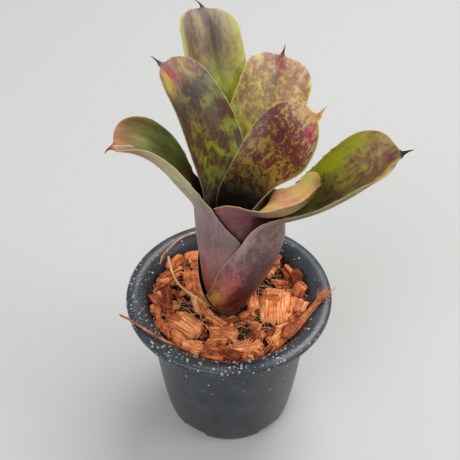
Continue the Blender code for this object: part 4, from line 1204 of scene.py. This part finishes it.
class BROMELIAD_OT_leaves(bpy.types.Operator):
    """Makes the seven leaves, each from sheath to spine"""
    bl_idname = "bromeliad.leaves"
    bl_label = "Leaves"

    def execute(self, context):
        held = context.scene.bromeliad_leaf
        half_thick = held.thickness / MM / 2
        for order, leaf in enumerate(LEAVES):
            points, shares, s, width = leaf_grid(order, leaf, held.rows, held.tooth)
            down, over = np.gradient(points, axis=0), np.gradient(points, axis=1)
            normal = np.cross(over, down)
            normal /= np.linalg.norm(normal, axis=2, keepdims=True)
            rows, columns = points.shape[:2]
            on_spine = s > leaf["length"]
            edge_mm = width[:, None] / 2 * (1 - np.abs(shares))[None]
            thick = half_thick * (0.45 + 0.55 * ease(edge_mm / 1.2))
            lens = np.sqrt(np.clip(1 - shares ** 2, 0, 1))[None] * width[:, None] * 0.36 + 0.04
            spiny = ease((s - leaf["length"] + 1.0) / 1.6)[:, None]
            thick = thick * (1 - spiny) + np.minimum(lens, 0.5) * spiny
            # the outer face first, then the inner one, and every field below in that order
            both = np.concatenate([(points + normal * thick[..., None]).reshape(-1, 3),
                                   (points - normal * thick[..., None]).reshape(-1, 3)])
            v = np.broadcast_to((s / leaf["length"])[:, None], (rows, columns))
            u = np.broadcast_to(shares[None], (rows, columns))
            t = np.clip((s - leaf["sheath"]) / (leaf["length"] - leaf["sheath"]), 0, 1)[:, None]
            paint = COATS[leaf["name"]]
            sides = [coat(paint.get("outer", SHEATH_OUT), paint.get("outer_patches", ()), np.clip(v, 0, 1),
                          u),
                     coat(paint["inner"], paint["patches"], np.clip(v, 0, 1), u)]
            dark = np.array(linear(leaf["spine"])[:3])
            horn = ease((s - leaf["length"] + 1.5) / 3.0)[:, None]
            ground, mottle, cover = [], [], []
            for g, m, c in sides:
                ground.append(g * (1 - horn[..., None]) + dark * horn[..., None])
                mottle.append(m * (1 - horn[..., None]) + dark * 0.6 * horn[..., None])
                cover.append(c)
            place = np.stack([np.broadcast_to(width[:, None] / 2 * shares[None], (rows, columns)),
                              np.broadcast_to(s[:, None], (rows, columns)),
                              np.full((rows, columns), APART * order)], -1)
            scurf_out = 0.24 * (1 - 0.7 * t) * np.ones((rows, columns)) * ease((s - 14.0) / 20.0)[:, None]
            scurf_in = 0.05 * np.ones((rows, columns))
            gloss_in = 0.32 - 0.14 * ease((v - 0.86) / 0.12)
            gloss_out = np.full((rows, columns), 0.46)
            edge = edge_mm + 3.0 * horn
            finish = leaf_finish("bromeliad_skin_" + leaf["name"], *MARKINGS[leaf["name"]],
                                 tuple(held.margin) + (1.0,))
            piece = mesh_piece("skin_" + leaf["name"], both * MM, sheet_faces(rows, columns), finish, dict(
                leaf_place=np.concatenate([place.reshape(-1, 3), place.reshape(-1, 3) + (0, 0, 200)]),
                ground=opaque(ground), mottle=opaque(mottle),
                cover=np.concatenate([c.reshape(-1) for c in cover]),
                edge=np.tile(edge.reshape(-1), 2),
                scurf=np.concatenate([scurf_out.reshape(-1), scurf_in.reshape(-1)]),
                gloss=np.concatenate([gloss_out.reshape(-1), gloss_in.reshape(-1)])))
            finished(piece, "leaf_mottled", leaf["name"])
        return {"FINISHED"}


class BROMELIAD_OT_stem(bpy.types.Operator):
    """Gives the short stem its own skin"""
    bl_idname = "bromeliad.stem"
    bl_label = "Stem"

    def execute(self, context):
        made, tree, shader = new_material("stem_cork_green")
        place = add(tree, "ShaderNodeTexCoord").outputs["Object"]
        grain = add(tree, "ShaderNodeTexNoise", {"Vector": place, "Scale": 500, "Detail": 4})
        colours = add(tree, "ShaderNodeValToRGB", {"Fac": grain.outputs[0]},
                      stops=((0.35, linear("#2e1c12")), (0.7, linear("#5c4426"))))
        tree.links.new(colours.outputs[0], shader.inputs["Base Color"])
        shader.inputs["Roughness"].default_value = 0.7
        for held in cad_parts["stem"].material_slots:
            held.material = made
        return {"FINISHED"}


# --- stage -----------------------------------------------------------------------------------
class BROMELIAD_OT_stage(bpy.types.Operator):
    """Makes the pale floor, the soft lights and the camera"""
    bl_idname = "bromeliad.stage"
    bl_label = "Stage"

    def execute(self, context):
        held = context.scene.bromeliad_stage
        made, tree, shader = new_material("board_matt_white")
        place = add(tree, "ShaderNodeTexCoord").outputs["Object"]
        cloud = add(tree, "ShaderNodeTexNoise", {"Vector": place, "Scale": 1.5, "Detail": 2})
        pale = tuple(held.floor) + (1.0,)
        tone = add(tree, "ShaderNodeMix", {0: cloud.outputs[0],
                                           6: tuple(c * 0.97 for c in pale[:3]) + (1.0,), 7: pale},
                   data_type="RGBA")
        tree.links.new(tone.outputs[2], shader.inputs["Base Color"])
        shader.inputs["Roughness"].default_value = 0.7
        shader.inputs["Specular IOR Level"].default_value = 0.2
        mesh = bpy.data.meshes.new("floor")
        mesh.from_pydata([(-4, -4, 0), (4, -4, 0), (4, 4, 0), (-4, 4, 0)], [], [(0, 1, 2, 3)])
        mesh.materials.append(made)
        floor = bpy.data.objects.new("floor", mesh)
        context.scene.collection.objects.link(floor)
        world = bpy.data.worlds.new("studio")
        world.use_nodes = True
        back = world.node_tree.nodes.get("Background") or add(world.node_tree, "ShaderNodeBackground")
        back.inputs["Color"].default_value = linear("#f0f1f2")
        back.inputs["Strength"].default_value = held.glow
        context.scene.world = world
        for name, place, size, watts, code in (
                ("key", (0.35, 0.55, 1.30), 0.9, 17.0, "#ffffff"),
                ("fill", (-0.65, -0.85, 1.05), 0.9, 9.5, "#f8faff"),
                ("side", (0.95, -0.20, 0.80), 0.6, 4.5, "#fffaf4")):
            lamp = bpy.data.lights.new(name, "AREA")
            lamp.shape, lamp.size, lamp.energy, lamp.color = "DISK", size, watts, linear(code)[:3]
            light = bpy.data.objects.new(name, lamp)
            light.location = place
            aim = Vector((0, 0, 0.08)) - Vector(place)
            light.rotation_euler = aim.to_track_quat("-Z", "Y").to_euler()
            context.scene.collection.objects.link(light)
        lens = bpy.data.cameras.new("camera")
        lens.sensor_width = 36.0
        lens.angle = math.radians(CAMERA_VIEW)
        lens.clip_start = 0.01
        camera = bpy.data.objects.new("camera", lens)
        camera.location = CAMERA_PLACE
        camera.rotation_euler = Euler((math.radians(90 - CAMERA_DOWN), 0.0, math.radians(CAMERA_TURN)), "XYZ")
        context.scene.collection.objects.link(camera)
        context.scene.camera = camera
        context.scene.view_settings.view_transform = "Standard"
        return {"FINISHED"}


# --- panel and registration ------------------------------------------------------------------
STEPS = (BROMELIAD_OT_stage, BROMELIAD_OT_pot, BROMELIAD_OT_drops, BROMELIAD_OT_bed, BROMELIAD_OT_stem,
         BROMELIAD_OT_leaves, BROMELIAD_OT_chips, BROMELIAD_OT_litter, BROMELIAD_OT_strands,
         BROMELIAD_OT_hairs)
GROUPS = {"bromeliad_pot": PotSettings, "bromeliad_mix": MixSettings, "bromeliad_leaf": LeafSettings,
          "bromeliad_stage": StageSettings}


class BROMELIAD_PT_panel(bpy.types.Panel):
    """Lists the settings and the steps"""
    bl_label = "Potted bromeliad"
    bl_idname = "BROMELIAD_PT_panel"
    bl_space_type = "VIEW_3D"
    bl_region_type = "UI"
    bl_category = "Bromeliad"

    def draw(self, context):
        for key, group in GROUPS.items():
            box = self.layout.box()
            for name in group.__annotations__:
                box.prop(getattr(context.scene, key), name)
        for step in STEPS:
            self.layout.operator(step.bl_idname)


def register():
    for made in (*GROUPS.values(), *STEPS, BROMELIAD_PT_panel):
        bpy.utils.register_class(made)
    for key, group in GROUPS.items():
        setattr(bpy.types.Scene, key, bpy.props.PointerProperty(type=group))


def unregister():
    for key in GROUPS:
        delattr(bpy.types.Scene, key)
    for made in (BROMELIAD_PT_panel, *reversed(STEPS), *GROUPS.values()):
        bpy.utils.unregister_class(made)


def main():
    register()
    for step in STEPS:
        group, name = step.bl_idname.split(".")
        getattr(getattr(bpy.ops, group), name)()


if __name__ == "__main__":
    main()
